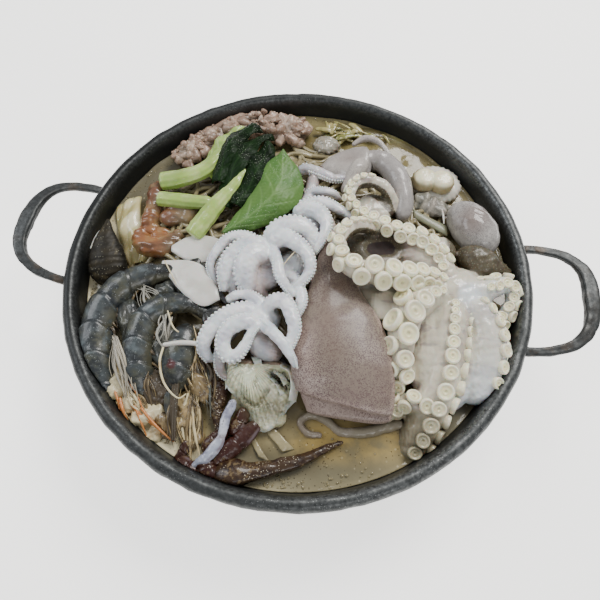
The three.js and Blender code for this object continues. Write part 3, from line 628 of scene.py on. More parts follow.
def broth_finish(colour, cloud_colour):
    """Cloudy broth with dark specks, flecks of fat and a creamy shore."""
    f = Finish("cloudy_broth")
    clouds = f.noise(15.0, 4.0, 0.6)
    tone = f.layered(
        colour,
        (cloud_colour, clouds.step(0.44, 0.62) * 0.75),
        ("#6f6547", f.noise(24.0, 4.0, 0.6).step(0.46, 0.66) * 0.8),
        ("#7a6f45", f.value("deep") * (0.5 + clouds * 0.6)),
        ("#4b4a3f", f.value("murk") * (0.55 + clouds * 0.5)),
        ("#b89b55", f.value("warm") * clouds.step(0.35, 0.6) * 0.8),
        ("#eadfb8", (f.value("shore") * (0.5 + clouds * 0.6)).least(1.0)),
        ("#d9cda6", f.dots(4.5, 0.2, clumps=12.0) * 0.4),
        ("#33281b", f.dots(2.6, 0.2, clumps=14.0) * 0.85),
        ("#4a3821", f.dots(5.5, 0.1) * 0.8),
    )
    relief = f.noise(9.0, 2.0) + f.noise(2.5, 2.0) * 0.2
    return f.done(tone, 0.07 + clouds * 0.08, f.bump(relief, 0.6), 0.35, IOR=1.34, Coat_Weight=0.3,
                  Coat_Roughness=0.05)


def broth_shape():
    rings = SOUP_RADIUS * np.sqrt(np.linspace(1, 0, 90))
    wall = [[0, FLOOR + 0.3], [BASE_RADIUS - 2.3, FLOOR + 0.3], [BASE_RADIUS + 8.7, WALL_FOOT]]
    top = np.column_stack([rings, np.full(len(rings), SOUP_LEVEL)])
    shape = turned(np.vstack([wall, top]), 180)
    radius = np.hypot(*shape.points[:, :2].T)
    surface = step(shape.points[:, 2], SOUP_LEVEL - 1, SOUP_LEVEL)
    shape.points[:, 2] += surface * (0.4 * ripple(shape.points, 24, 8)
                                     + 0.8 * step(radius, SOUP_RADIUS - 3, SOUP_RADIUS))
    points = shape.points
    left = step(-points[:, 0] - 0.4 * points[:, 1], 20, 110) * (1 - step(points[:, 1], 5, 40))
    shore = step(radius, SOUP_RADIUS - 24, SOUP_RADIUS - 4) * (0.12 + 0.88 * left)
    right = nearness(points, [[152, -30, 56], [140, -80, 56], [110, -118, 56]], 34)
    front = nearness(points, [[-10, -152, 56], [35, -152, 56], [75, -138, 56]], 26)
    return shape.mark(
        shore=np.maximum(shore, nearness(points, [[-136, -88, 56], [-116, -122, 56], [-96, -142, 56],
                                                  [-72, -154, 56]], 34) * 1.8),
        murk=np.clip(right * 1.3 + 0.8 * front
                     + 1.2 * nearness(points, [[-156, 44, 56], [-132, 92, 56]], 26), 0, 1),
        warm=nearness(points, [[30, -128, 56], [62, -126, 56], [84, -122, 56]], 22),
        deep=step(points[:, 1], 90, 130),
    )


def foam_finish():
    """Thin clear bubbles with a pale skin."""
    f = Finish("foam_bubbles")
    return f.done("#b3a67e", 0.05, None, 0, Alpha=0.5, Coat_Weight=0.8, Coat_Roughness=0.03, IOR=1.33)


def foam_shape():
    """Bubbles strung along the wall and gathered in small patches."""
    draw = np.random.default_rng(41)
    spots = []
    for start, end, count in ((2.5, 3.6, 90), (3.6, 4.3, 60), (4.5, 5.2, 50), (0.9, 2.2, 50)):
        for angle in draw.uniform(start, end, count):
            radius = SOUP_RADIUS - 1.5 - abs(draw.normal(0, 3.2))
            spots.append((radius * math.cos(angle), radius * math.sin(angle), draw.uniform(0.4, 1.1)))
    for x, y, count, reach in ((-106, -141, 5, 8), (55, -147, 7, 15), (15, -160, 14, 12), (-118, -98, 9, 5),
                               (60, -132, 5, 12), (20, 143, 8, 12)):
        for _ in range(count):
            spots.append((x + draw.normal(0, reach / 2), y + draw.normal(0, reach / 3),
                          draw.uniform(0.4, 1.2)))
    spots += [(-114, -127, 2.2), (-105, -131, 1.8), (-97, -138, 3.0), (146, 34, 4.0), (150, 27, 2.6)]
    bubbles = [ball((x, y, SOUP_LEVEL + 0.35 * size), (size, size, 0.8 * size), 12, 8)
               for x, y, size in spots if math.hypot(x, y) < SOUP_RADIUS - size]
    return join(bubbles)


def bed_height(x, y):
    """The height of the noodle mound, which stands out of the soup under the seafood."""
    share = np.hypot((x - BED_CENTRE[0]) / BED_HALF[0], (y - BED_CENTRE[1]) / BED_HALF[1])
    return SOUP_LEVEL + np.where(share < 1, BED_HEIGHT * (1 - share**3), -3.0 * (share - 1) * 10)


def noodle_finish(name, colour, deep):
    """Boiled noodle or sprout: pale, wet and a little see-through."""
    f = Finish(name)
    tone = f.layered(colour, (deep, f.patches(12.0, 0.42, 0.66) * 0.8),
                     ("#efe8cf", f.patches(3.0, 0.55, 0.75) * 0.4))
    return f.done(tone, 0.24, f.bump(f.noise(3.0), 0.15), Coat_Weight=0.3, Coat_Roughness=0.1)


def bed_core():
    """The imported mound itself, low and rough between the strands."""
    share = np.sqrt(np.linspace(0, 1, 50))
    angle = np.linspace(0, 2 * np.pi, 120, endpoint=False)
    x = BED_CENTRE[0] + BED_HALF[0] * share[:, None] * np.cos(angle)
    y = BED_CENTRE[1] + BED_HALF[1] * share[:, None] * np.sin(angle)
    grid = np.stack([x, y, bed_height(x, y) - 3.5], -1)
    shape = lattice(grid[:, ::-1], True).welded()
    shape.points[:, 2] += 1.5 * ripple(shape.points, 9, 12)
    return shape


def strands(count, seed, radius, reach):
    """Strands that wander over the mound, each on its own bent route."""
    draw = np.random.default_rng(seed)
    made = []
    while len(made) < count:
        place = BED_CENTRE + BED_HALF * draw.uniform(-0.95, 0.95, 2)
        heading = draw.uniform(0, 2 * np.pi)
        route = []
        for _ in range(int(reach / 9)):
            heading += draw.normal(0, 0.42)
            place = place + 9 * np.array([math.cos(heading), math.sin(heading)])
            share = np.hypot(*((place - BED_CENTRE) / BED_HALF))
            if share > 1.0 or math.hypot(*place) > 160:
                break
            route.append([*place, float(bed_height(*place)) + draw.uniform(-2.6, 0.4)])
        if len(route) > 4:
            made.append(tube(route, [radius], 8, 6 * len(route)))
    return join(made)


# ---------- octopus ----------

OCTOPUS_ARMS = {
    "back": dict(
        route=[[116, -5, 76], [106, 13, 80], [89, 27, 82], [72, 29, 84], [55, 35, 86], [40, 43, 88],
               [33, 54, 89], [37, 66, 90], [47, 71, 89], [60, 69, 85], [68, 62, 78], [73, 55, 70]],
        radii=[10, 8, 7, 6, 5, 4.5, 4.5, 5, 5, 4], centre=(50, 52), lift=[2.4, 1.6, 0.6],
        cups=[3.6, 5.0, 5.0, 4.9, 4.2, 3.2, 2.9, 2.6], reach=(0.08, 0.8)),
    "front": dict(
        route=[[120, -18, 78], [99, -10, 86], [76, -14, 93], [56, -17, 99], [40, -16, 102], [32, -8, 102],
               [30, 5, 101], [36, 17, 99], [46, 25, 92], [60, 29, 80]],
        radii=[10, 8, 8, 8, 8, 7, 6, 5.5, 5, 4], centre=(58, 8), lift=[2.6, 2, 0.6],
        cups=[3.2, 5.4, 6.9, 7.0, 5.4, 4.2, 3.6, 3.0], reach=(0.1, 0.9)),
    "inner": dict(
        route=[[112, -14, 80], [98, -22, 84], [87, -35, 85], [83, -50, 84], [82, -64, 81], [84, -76, 75],
               [89, -85, 69]],
        radii=[11, 11, 11, 10.5, 9.5, 8, 6], centre=(150, -50), lift=[3, 3],
        cups=[3.2, 6.2, 7.7, 7.7, 6.8, 6.0, 5.2], reach=(0.12, 0.98)),
    "long": dict(
        route=[[119, -15, 74], [117, -36, 73], [115, -56, 71], [113, -78, 68], [108, -98, 62],
               [102, -117, 54], [96, -133, 46]],
        radii=[14, 15, 15, 14, 13, 12, 8], centre=(40, -70), lift=[1.6, 1.1, 0.9],
        cups=[2.6, 4.2, 5.4, 5.9, 5.7, 5.1, 4.2], reach=(0.06, 0.97)),
    "branch": dict(
        route=[[112, -88, 70], [99, -96, 69], [87, -97, 65], [87, -108, 60]],
        radii=[8, 7, 6, 5], centre=(110, -90), lift=[2.5, 0.5],
        cups=[5.6, 4.8, 4.4], reach=(0.3, 0.98)),
    "side": dict(
        route=[[124, -15, 73], [140, -30, 72], [145, -51, 70], [143, -71, 66], [135, -88, 60]],
        radii=[14, 14, 14, 12, 9], centre=(60, -50), lift=[0.5, 0.3],
        cups=[3.0, 4.6, 5.0, 4.4], reach=(0.12, 0.84)),
    "corner": dict(
        route=[[126, -12, 76], [145, -4, 76], [158, 3, 74], [164, -3, 71], [161, -16, 67], [154, -27, 62]],
        radii=[10, 9, 7, 5, 5.5, 5], centre=(130, -40), lift=[2, 1.5],
        cups=[3.0, 4.4, 4.2, 4.0], reach=(0.2, 0.96)),
}
OCTOPUS_HUB = (122, -10, 70)
SUNK_TIP = [[101, -120, 60], [92, -142, 56]]
OCTOPUS_FOLD = [[123, -8, 71], [101, 11, 74], [79, 20, 73], [67, 26, 69]]
OCTOPUS_SKIN = [[123, 30, 70], [132, 25, 71], [145, 20, 70], [157, 19, 67], [167, 20, 63]]
CUP_PITCH = 1.95
CUP_STALK = 0.34
SUNK_REACH = 42
CUP_PROFILE = [[0, -1.1], [0.66, -1.05], [0.74, -0.7], [0.94, -0.42], [1.02, -0.12], [1.0, 0.1],
               [0.92, 0.22], [0.8, 0.25], [0.7, 0.18], [0.6, 0.08], [0.46, 0.05], [0.36, 0.08], [0.26, 0.07],
               [0.16, 0.0], [0.08, -0.06], [0, -0.08]]


def cup_on(place, axis, size, draw):
    """One sucker: a disc on a short stalk, with a thick rim, a shallow dish and a small mouth."""
    shape = turned(rounded(CUP_PROFILE, 1), 18)
    out = np.hypot(*shape.points[:, :2].T)
    shape.mark(rim=step(out, 0.6, 0.8),
               mouth=(1 - step(out, 0.12, 0.24)) * step(shape.points[:, 2], -0.4, -0.1))
    wobble = 1 + 0.05 * np.cos(2 * np.arctan2(shape.points[:, 1], shape.points[:, 0]) + draw.uniform(0, 6))
    scale = size * np.array([draw.uniform(0.94, 1.06), draw.uniform(0.94, 1.06), 1.0])
    tilt = unit(axis + draw.normal(0, 0.09, 3))
    turn = Vector(tilt).to_track_quat("Z", "Y").to_matrix()
    shape.points = (shape.points * wobble[:, None] * scale) @ np.array(turn).T + place
    return shape.mark(shade=draw.uniform(0, 1))


def octopus_cups(size_factor):
    """Two staggered rows of suckers on every arm, facing up and away from the arm's centre."""
    draw = np.random.default_rng(5)
    made = []
    for arm in OCTOPUS_ARMS.values():
        shares = np.linspace(0, 1, 400)
        line, length = smooth_line(arm["route"], shares)
        ahead = frames(line)[0]
        radii = spread(arm["radii"], shares)
        start, end = arm["reach"]
        for row in (-1, 1):
            t = start + (0.5 if row > 0 else 0) * CUP_PITCH * arm["cups"][0] / length
            while t < end:
                share = (t - start) / (end - start)
                size = float(spread(arm["cups"], [share])[0]) * size_factor
                k = min(int(t * 399), 399)
                away = unit(np.array([*(line[k][:2] - arm["centre"]), 0.0]))
                face = away + UP * float(spread(arm["lift"], [share])[0])
                face = unit(face - ahead[k] * (face @ ahead[k]))
                axis = unit(face + 0.6 * row * np.cross(ahead[k], face))
                made.append(cup_on(line[k] + axis * (radii[k] + CUP_STALK * size), axis, size, draw))
                t += CUP_PITCH * size / length
    for _ in range(26):
        angle, far = draw.uniform(0, 2 * np.pi), draw.uniform(3, 17)
        x = OCTOPUS_HUB[0] + far * math.cos(angle)
        y = OCTOPUS_HUB[1] + far * 0.8 * math.sin(angle)
        spot = np.array([x, y, 84.5 - 0.25 * far])
        axis = unit(np.array([math.cos(angle), math.sin(angle), 2.2]))
        made.append(cup_on(spot, axis, draw.uniform(1.6, 3.0), draw))
    whole = join(made)
    return whole.mark(fade=nearness(whole.points, SUNK_TIP, SUNK_REACH))


def octopus_body():
    """The arms, the web between them and the patch of dark skin, grown into one."""
    arms = [tube(arm["route"], arm["radii"], 24, 90) for arm in OCTOPUS_ARMS.values()]
    web = [
        ball(OCTOPUS_HUB, (27, 22, 16), 48, 30),
        tube([[128, -25, 68], [131, -48, 66], [128, -72, 63], [120, -95, 58]], [10, 13, 12, 7], 24, 50),
        ball((82, 6, 68), (30, 16, 8), 48, 30, -0.2),
        ball((82, -32, 69), (17, 20, 7), 48, 30),
        ball((56, 14, 80), (23, 14, 4), 48, 30),
        ball((54, 55, 77), (16, 13, 4), 48, 30),
        ball((65, -26, 81), (19, 19, 5), 48, 30),
        ball((109, 27, 72), (12, 11, 7), 48, 30),
        tube([[106, -24, 73], [105, -45, 71], [103, -66, 69], [101, -86, 63]], [9, 12, 12, 8], 24, 50),
    ]
    fold = tube(OCTOPUS_FOLD, [12, 12, 10, 6], 24, 50)
    skin = tube(OCTOPUS_SKIN, [7, 12, 13, 8, 3], 28, 50, 0.85)
    shape = fused([*arms, *web, fold, skin], 1.15, 8)
    points = shape.points
    olive = (nearness(points, OCTOPUS_SKIN, 19) * 1.7
             + nearness(points, [[42, 13, 83], [68, 17, 83]], 20) * 0.8)
    for name in ("back", "front"):
        arm = OCTOPUS_ARMS[name]
        line, _ = smooth_line(arm["route"], np.linspace(0, 1, 80))
        apart = ((points[:, None] - line[None]) ** 2).sum(-1)
        near = apart.argmin(1)
        inward = unit(np.append(arm["centre"], 60.0) - line[near])
        facing = (unit(points - line[near]) * inward).sum(1)
        close = 1 - step(np.sqrt(apart.min(1)), 9, 13)
        olive = np.maximum(olive, close * step(facing, -0.25, 0.35) * step(near / 80, 0.25, 0.45))
    pink = (nearness(points, OCTOPUS_FOLD, 20)
            + 0.8 * nearness(points, [[105, -30, 70], [103, -60, 66], [96, -95, 62]], 16))
    clear = (nearness(points, OCTOPUS_ARMS["side"]["route"], 22)
             + nearness(points, OCTOPUS_ARMS["corner"]["route"], 14))
    # A pit inside the front arm's loop: a dent whose darkness is painted shade.
    pit = nearness(points, [[57, 13, 84], [67, 16, 83]], 12)
    shape.mark(olive=np.clip(olive, 0, 1), pink=np.clip(pink, 0, 1), clear=np.clip(clear, 0, 1), pit=pit,
               fade=nearness(points, SUNK_TIP, SUNK_REACH))
    return shape.pushed(0.35 * ripple(points, 7, 9) + 0.15 * ripple(points, 2.5, 19) - 3 * pit)


def octopus_finish(pale, olive):
    """Wet octopus: creamy below, lilac in its folds, and olive-brown with fine specks on its back."""
    f = Finish("octopus_skin")
    mottle = f.noise(3.2, 4.0, 0.65)
    tone = f.layered(
        pale,
        ("#a3958a", f.patches(9.0, 0.46, 0.68) * 0.6),
        ("#a8948f", f.value("pink").step(0.2, 0.8) * 0.8),
        ("#8c7c83", f.noise(4.0, 2.0, 0.5, (0.3, 1, 1)).step(0.56, 0.66) * 0.5),
        ("#dfe5e8", f.value("clear").step(0.15, 0.6) * 0.9),
        (olive, f.value("olive").step(0.12, 0.5)),
        ("#3a3023", (f.value("olive") * mottle.step(0.42, 0.64)).least(1.0) * 0.8),
        ("#b8b49c", f.value("olive") * f.dots(1.9, 0.3) * 0.4),
        # painted shade in the pit
        ("#2b1d19", f.value("pit").step(0.42, 0.58)),
        ("#9a9073", f.value("fade").step(0.0, 0.7) * 0.85),
    )
    normal = f.bump(f.noise(2.2, 3.0), 0.3)
    dull = (f.value("pit").step(0.0, 0.4) + f.value("olive") * 0.5).least(1.0)
    return f.done(tone, 0.28 + dull * 0.5, normal, **juicy(0.2, 0.4 - dull * 0.4))


def cup_finish(pale):
    """Suckers: pale rims round a yellower, see-through dish with a tan mouth."""
    f = Finish("octopus_suckers")
    tone = f.layered(
        "#f4ecbf",
        ("#fcf7df", f.value("rim") * 0.8),
        (pale, f.value("shade").step(0.5, 1.0) * 0.35),
        ("#bdb181", f.value("mouth") * 0.4),
        ("#d3cca6", f.patches(2.2, 0.5, 0.75) * 0.3),
        ("#a89f80", f.value("fade").step(0.0, 0.7) * 0.85),
    )
    return f.done(tone, 0.3, f.bump(f.noise(1.2), 0.08), **juicy(0.2, 0.25, 0.15, 0.002))


# ---------- small octopuses ----------

UPPER_BABY_ARMS = [
    ([[-27, -1, 84], [-40, 5, 86], [-53, 2, 86], [-60, -9, 84], [-63, -21, 81], [-55, -35, 76]],
     [5, 4.5, 4, 3.5, 3, 2]),
    ([[-15, -14, 86], [-31, -4, 91], [-43, -11, 91], [-49, -24, 87], [-48, -40, 79]], [7, 7.5, 7, 6, 3]),
    ([[-18, -9, 88], [-30, -13, 93], [-34, -24, 92], [-31, -33, 86], [-26, -36, 80]], [8, 9, 9, 8, 5]),
    ([[-21, -3, 86], [-17, 10, 92], [-6, 16, 94], [5, 14, 93], [11, 4, 88], [10, -3, 82]],
     [7, 8, 8, 7, 5, 3]),
    ([[-22, -1, 90], [-13, 3, 95], [-2, -1, 98], [9, -11, 99], [12, -21, 97], [7, -30, 93], [-1, -34, 89]],
     [7, 7, 6, 5, 4, 3.5, 2.5]),
    ([[-19, -3, 90], [-12, -18, 97], [-7, -30, 98], [-2, -36, 95], [3, -41, 89]], [5, 4.5, 4, 3.5, 3]),
    ([[-9, 32, 84], [1, 36, 88], [11, 32, 92], [18, 22, 94], [17, 8, 94], [12, -3, 90]],
     [6, 6.5, 6, 4.5, 3.5, 2.5]),
    ([[-8, 42, 78], [1, 44, 83], [12, 46, 86], [25, 42, 86], [35, 38, 84], [43, 33, 80]],
     [5, 5.5, 5, 4, 3, 2]),
    ([[-4, 56, 75], [1, 61, 78], [10, 62, 80], [19, 62, 79], [25, 59, 75]], [3, 3.5, 3.5, 3, 2]),
    ([[-15, 84, 73], [-8, 87, 75], [5, 84, 76], [17, 80, 76], [27, 83, 75], [33, 93, 73]],
     [4, 4.5, 4.5, 4, 3, 2]),
    ([[-14, -20, 80], [-2, -22, 86], [6, -32, 90], [10, -44, 92], [8, -56, 91]], [5, 5, 4, 4, 2.5]),
]
LOWER_BABY_ARMS = [
    ([[-13, -49, 82], [-24, -44, 86], [-35, -43, 86], [-44, -48, 82]], [4, 4, 3.5, 2.5]),
    ([[-21, -52, 84], [-34, -57, 87], [-45, -66, 86], [-51, -76, 83], [-52, -85, 79], [-45, -92, 74]],
     [6, 6, 6, 5.5, 4.5, 3]),
    ([[-17, -62, 88], [-28, -66, 91], [-36, -72, 90], [-38, -81, 87], [-34, -88, 84], [-28, -88, 85],
      [-23, -81, 88], [-20, -71, 90], [-15, -63, 91]], [6, 5.5, 5.5, 5, 5, 4.5, 3.5, 3, 2.5]),
    ([[-17, -56, 82], [-9, -48, 93], [-1, -49, 97], [5, -57, 98], [9, -67, 97], [8, -77, 94], [7, -83, 88]],
     [5, 5, 5.5, 5, 4.5, 3.5, 2.5]),
    ([[-17, -60, 82], [-6, -70, 95], [3, -78, 97], [10, -85, 94], [14, -90, 87]], [5.5, 4.5, 4, 3.5, 2]),
]
UPPER_BABY_BODY = [
    ball((-22, -16, 79), (16, 18, 10)),
    ball((-1, -14, 83), (13, 15, 6)),
    ball((3, 24, 82), (12, 13, 5)),
    tube([[-20, -5, 78], [-6, 30, 77], [0, 60, 74], [0, 85, 71]], [8, 8, 6, 5]),
]
LOWER_BABY_BODY = [
    ball((-16, -57, 80), (13, 13, 11)),
    tube([[-24, -62, 77], [-13, -75, 76], [2, -81, 74]], [8, 9, 6]),
]


def beads_along(route, radii):
    """The small suckers that scallop the outer edge of an arm, in two rows."""
    shares = np.linspace(0, 1, 300)
    line, length = smooth_line(route, shares)
    ahead = frames(line)[0]
    size = spread(radii, shares)
    middle = line.mean(0)
    made, t = [], 0.12
    while t < 0.97:
        k = int(t * 299)
        bead = np.clip(0.26 * size[k], 0.8, 1.5)
        away = line[k] - middle
        away = away - ahead[k] * (away @ ahead[k])
        away = unit(np.array([away[0], away[1], 0.0]))
        for lift in (0.5, -0.2):
            face = unit(away + UP * lift)
            place = (line[k] + face * np.array([0.96, 0.96, 0.82]) * size[k]
                     + ahead[k] * (0.8 * bead if lift < 0 else 0))
            made.append(ball(place, (bead, bead, bead), 10, 7).mark(bead=1))
        t += 1.8 * bead / length
    return made


def arms_between(arms, hub, turn, drop):
    """More arms under the others: the same ones turned a little round the hub, and lower."""
    made = []
    for route, radii in arms:
        away = np.asarray(route, float) - [*hub, 0]
        cos, sin = math.cos(turn), math.sin(turn)
        x, y = away[:, 0] * cos - away[:, 1] * sin, away[:, 0] * sin + away[:, 1] * cos
        made.append((np.column_stack([x + hub[0], y + hub[1], away[:, 2] - drop]), np.asarray(radii) * 0.75))
    return made


def baby_shape(arms, bodies, seed):
    """Arms and body grown together, with a soft flat side below and beads along every outer edge."""
    limbs = [tube(route, radii, 20, 60, 0.92) for route, radii in arms]
    shape = fused([*limbs, *bodies], 0.75, 3)
    shape = shape.pushed(0.2 * ripple(shape.points, 4, seed)
                         + 0.1 * ripple(shape.points, 1.8, seed + 1)).mark(bead=0)
    shape = join([shape, *[bead for route, radii in arms for bead in beads_along(route, radii)]])
    points = shape.points
    # Low and downward-facing parts, for painted shade.
    low = np.maximum(1 - step(points[:, 2], 75, 86), 1 - step(shape.normals()[:, 2], -0.6, 0.35))
    blush = (nearness(points, [[-24, -20, 90], [-22, -34, 86]], 16)
             + nearness(points, [[-24, -62, 80], [0, -80, 78]], 15))
    return shape.mark(low=low, blush=np.clip(blush, 0, 1))


def baby_finish(pale, shade):
    """Small octopus: white and bluish, with painted lilac shade on its low and downward-facing parts, and a
    blush at the middle.
    """
    f = Finish("small_octopus_skin")
    tone = f.layered(
        pale,
        # painted shade on the low and downward-facing parts
        (shade, f.value("low") * 0.85),
        ("#c6a79c", f.value("blush").step(0.2, 0.9) * 0.6),
        ("#c3c3cf", f.patches(6.0, 0.46, 0.66) * 0.6),
        ("#b9c4cb", f.patches(10.0, 0.5, 0.66, 2.0) * 0.45),
        ("#f7f6f2", f.value("bead") * 0.7),
    )
    return f.done(tone, 0.3, f.bump(f.noise(1.6), 0.12), 0.8, **juicy(0.2, 0.35, 0.15))


# ---------- squids ----------

MANTLE_ROUTE = [[20, 32, 88], [25, 6, 88], [29, -15, 87], [33, -35, 85], [39, -57, 84], [44, -78, 81],
                [47, -94, 76], [49, -107, 71]]
MANTLE_LIP_ROUTE = [[41, -60, 77], [48, -90, 71], [55, -114, 64]]
SMALL_SQUID_ROUTE = [[40, 87, 72], [42, 104, 73], [53, 107, 73], [66, 97, 74], [74, 79, 75], [77, 61, 75],
                     [77, 49, 72]]
TENTACLE_ROUTE = [[93, -108, 58], [81, -113, 58], [66, -119, 58], [50, -121, 58], [38, -115, 59],
                  [27, -114, 59], [22, -120, 58], [28, -126, 58], [38, -126, 58]]


def squid_finish(name, colour, edge_colour, speck_colour, specks, wet=0.25):
    """Squid skin: mauve-grey, paler at its edges and top, partly pale skin and partly painted sheen, and
    dusted with fine purple specks.
    """
    f = Finish(name)
    tone = f.layered(
        colour,
        # paler edges: partly pale skin, partly painted sheen
        (edge_colour, f.value("edge").step(0.1, 0.9) * 0.85),
        ("#7f6a62", f.patches(24.0, 0.45, 0.68) * 0.5),
        ("#b8aaa2", f.patches(15.0, 0.5, 0.7) * 0.45),
        (speck_colour, f.patches(1.1, 0.5, 0.64, 2.0) * specks * 0.4),
        (speck_colour, f.dots(0.9, 0.48) * f.patches(14.0, 0.25, 0.5, 2.0) * specks),
        (speck_colour, f.dots(1.6, 0.3) * f.patches(20.0, 0.35, 0.6, 2.0) * specks),
        ("#6c5448", f.value("dent") * 0.55),
    )
    normal = f.bump(f.noise(2.0, 3.0), 0.1)
    return f.done(tone, 0.42, normal, 0.35, Specular_IOR_Level=0.3, Coat_Weight=wet, Coat_Roughness=0.14)


def mantle_shape():
    """The big sleeve, a little dented along its middle, over the lower lip of its open end."""

    def uneven(along, angle):
        return 1 + 0.02 * np.sin(5 * along + 2 * angle) - 0.03 * step(along, 0.9, 1.0)

    sleeve = tube(MANTLE_ROUTE, [3, 7.5, 12, 18.5, 27.5, 34.5, 36.5, 34.5], 120, 150, 0.4, (1, 0.12), uneven)
    lip = tube(MANTLE_LIP_ROUTE, [28, 31, 31], 90, 70, 0.26, (0.3, 0.16), uneven)
    for shape in (sleeve, lip):
        points = shape.points
        points[:, 1] -= 0.24 * (points[:, 0] - 48) * step(shape.fields["along"], 0.6, 1.0)
        middle = nearness(points, [[30, -5, 96], [38, -40, 96]], 15)
        sides = np.abs(np.cos(shape.fields["turn"] * 2 * np.pi))
        # Paler along the sleeve's two sides and at its open end: partly pale skin, partly painted sheen.
        edge = np.maximum(step(sides, 0.8, 0.99), step(shape.fields["along"], 0.93, 1.0))
        # Near its narrow upper end the sleeve is made paler as painted highlight, and at its lower left as
        # pale skin.
        for pale in ([[24, 24, 92], [29, -2, 98]], [[12, -70, 86], [20, -100, 78]]):
            edge = np.maximum(edge, nearness(points, pale, 24))
        streak = nearness(points, [[30, -28, 96], [33, -50, 95], [37, -78, 92]], 13)
        shape.mark(edge=edge, dent=np.maximum(middle * step(ripple(points, 12, 4), -0.4, 0.8), 0.6 * streak))
        shape.pushed(0.7 * ripple(points, 30, 6, 2) - 1.5 * middle)
    lip.mark(edge=0.8)
    return join([sleeve, lip])


def small_squid_shape():
    """The second squid, arched over the mound, with its fin and a pale strip of skin at its tip."""
    arch = tube(SMALL_SQUID_ROUTE, [6, 8, 9, 9.5, 9, 8, 5], 40, 90)
    lobe = tube([[41, 106, 74], [36, 92, 77], [31, 78, 76], [27, 68, 73]], [5, 7.5, 6, 4], 30, 50)
    fin = sheet([[2, 96, 69], [18, 112, 72], [33, 121, 73], [41, 121, 74]],
                [[12, 85, 70], [27, 80, 74], [35, 74, 77], [45, 95, 78]],
                50, 60, 3, lambda u, v: 4 * np.sin(np.pi * u) + 0.8 * np.sin(6 * v + 4 * u))
    strip = tube([[28, 124, 70], [38, 131, 73], [50, 128, 74], [60, 117, 73], [66, 106, 71]],
                 [1.5, 2.6, 2.6, 2.4, 1.5], 14, 50)
    for shape, edge in ((arch, 0.25), (lobe, 0.7), (fin, 0.5), (strip, 1.0)):
        shape.mark(edge=edge, dent=0)
        shape.pushed(0.3 * ripple(shape.points, 10, 7))
    return join([arch, lobe, fin, strip])


# ---------- prawns ----------

OUTER_PRAWN = [[-84, -25, 72], [-105, -29, 71], [-126, -41, 69], [-137, -61, 67], [-136, -84, 66],
               [-127, -106, 64], [-116, -122, 57], [-106, -134, 49]]
INNER_PRAWN = [[-56, -57, 71], [-70, -52, 73], [-87, -53, 73], [-101, -64, 70], [-103, -84, 68],
               [-97, -105, 64], [-88, -121, 56], [-82, -129, 48]]
TAIL_FANS = {"prawn_outer": ([-84, -25, 72], 0.25, 17), "prawn_inner": ([-60, -56, 74], -0.3, 13)}
SHORT_PRAWN = [[-69, -66, 72], [-70, -82, 71], [-69, -99, 69], [-67, -115, 63]]


def prawn_shell(route, radii, plates):
    """The armour of a curled prawn: overlapping plates that end in scallops along the belly."""

    def armour(along, angle):
        place = (along * plates - 0.13 * np.cos(2 * angle)) % 1
        lap = 0.14 * (place - step(place, 0.9, 1.0))
        return 1 - lap + 0.04 * np.cos(angle + np.pi) ** 8

    shape = tube(route, radii, 56, 30 * plates, 0.92, (1, 1), armour)
    along, angle = shape.fields["along"], shape.fields["turn"] * 2 * np.pi
    place = (along * plates - 0.13 * np.cos(2 * angle)) % 1
    belly = step(np.cos(angle), 0.3, 0.95)
    shape.mark(lap=step(place, 0.72, 0.95), ridge=1 - step(np.abs(place - 0.03), 0.0, 0.04), belly=belly,
               tail=1 - step(along, 0.06, 0.26),
               red=nearness(shape.points, [[-73, -99, 81], [-71, -100, 81]], 6))
    return shape.pushed(0.12 * ripple(shape.points, 5, 3))


def prawn_legs(route, radii, count, length, seed):
    """Thin swimming legs that reach out from the belly and curl back."""
    draw = np.random.default_rng(seed)
    shares = np.linspace(0.24, 0.86, count)
    line, _ = smooth_line(route, shares)
    dense, _ = smooth_line(route, np.linspace(0, 1, 200))
    ahead, left, _ = frames(dense)
    made = []
    for share, place in zip(shares, line):
        k = int(share * 199)
        size = float(spread(radii, [share])[0])
        reach = length * draw.uniform(0.6, 1.2)
        root = place + left[k] * size * 0.7 - UP * draw.uniform(-1.5, 3.0)
        bend = (root + left[k] * reach * 0.5 + ahead[k] * reach * draw.uniform(0.1, 0.6)
                + UP * draw.uniform(-1, 2.5))
        tip = (root + left[k] * reach * 0.8 + ahead[k] * reach * draw.uniform(0.6, 1.4)
               - UP * draw.uniform(1, 3))
        tip[2] = max(tip[2], SOUP_LEVEL + 1)
        leg = tube([root, bend, tip], [1.0, 1.1, 0.7, 0.3], 10, 20, 0.7)
        made.append(leg.mark(flesh=draw.uniform(0.2, 0.6), belly=1))
    return made


def wisps(start, end, count, width, size, seed, flesh):
    """A loose bundle of thin legs and feelers between two places."""
    draw = np.random.default_rng(seed)
    made = []
    for _ in range(count):
        a = np.asarray(start, float) + draw.normal(0, 0.5 * width, 3) * [1, 1, 0.25]
        c = np.asarray(end, float) + draw.normal(0, width, 3) * [1, 1, 0.25]
        side = np.cross(UP, unit(c - a))
        b = (a + c) / 2 + side * draw.normal(0, 0.9 * width) + UP * draw.uniform(-0.5, 3)
        route = np.array([a, b, c])
        route[:, 2] = np.maximum(route[:, 2], SOUP_LEVEL + 1)
        thick = size * draw.choice([0.3, 0.45, 0.8, 1.3])
        hair = tube(route, [thick * 0.6, thick, thick * 0.2], 12, 22, draw.uniform(0.35, 0.8))
        made.append(hair.mark(flesh=draw.uniform(*flesh), belly=draw.uniform(0, 1)))
    return made


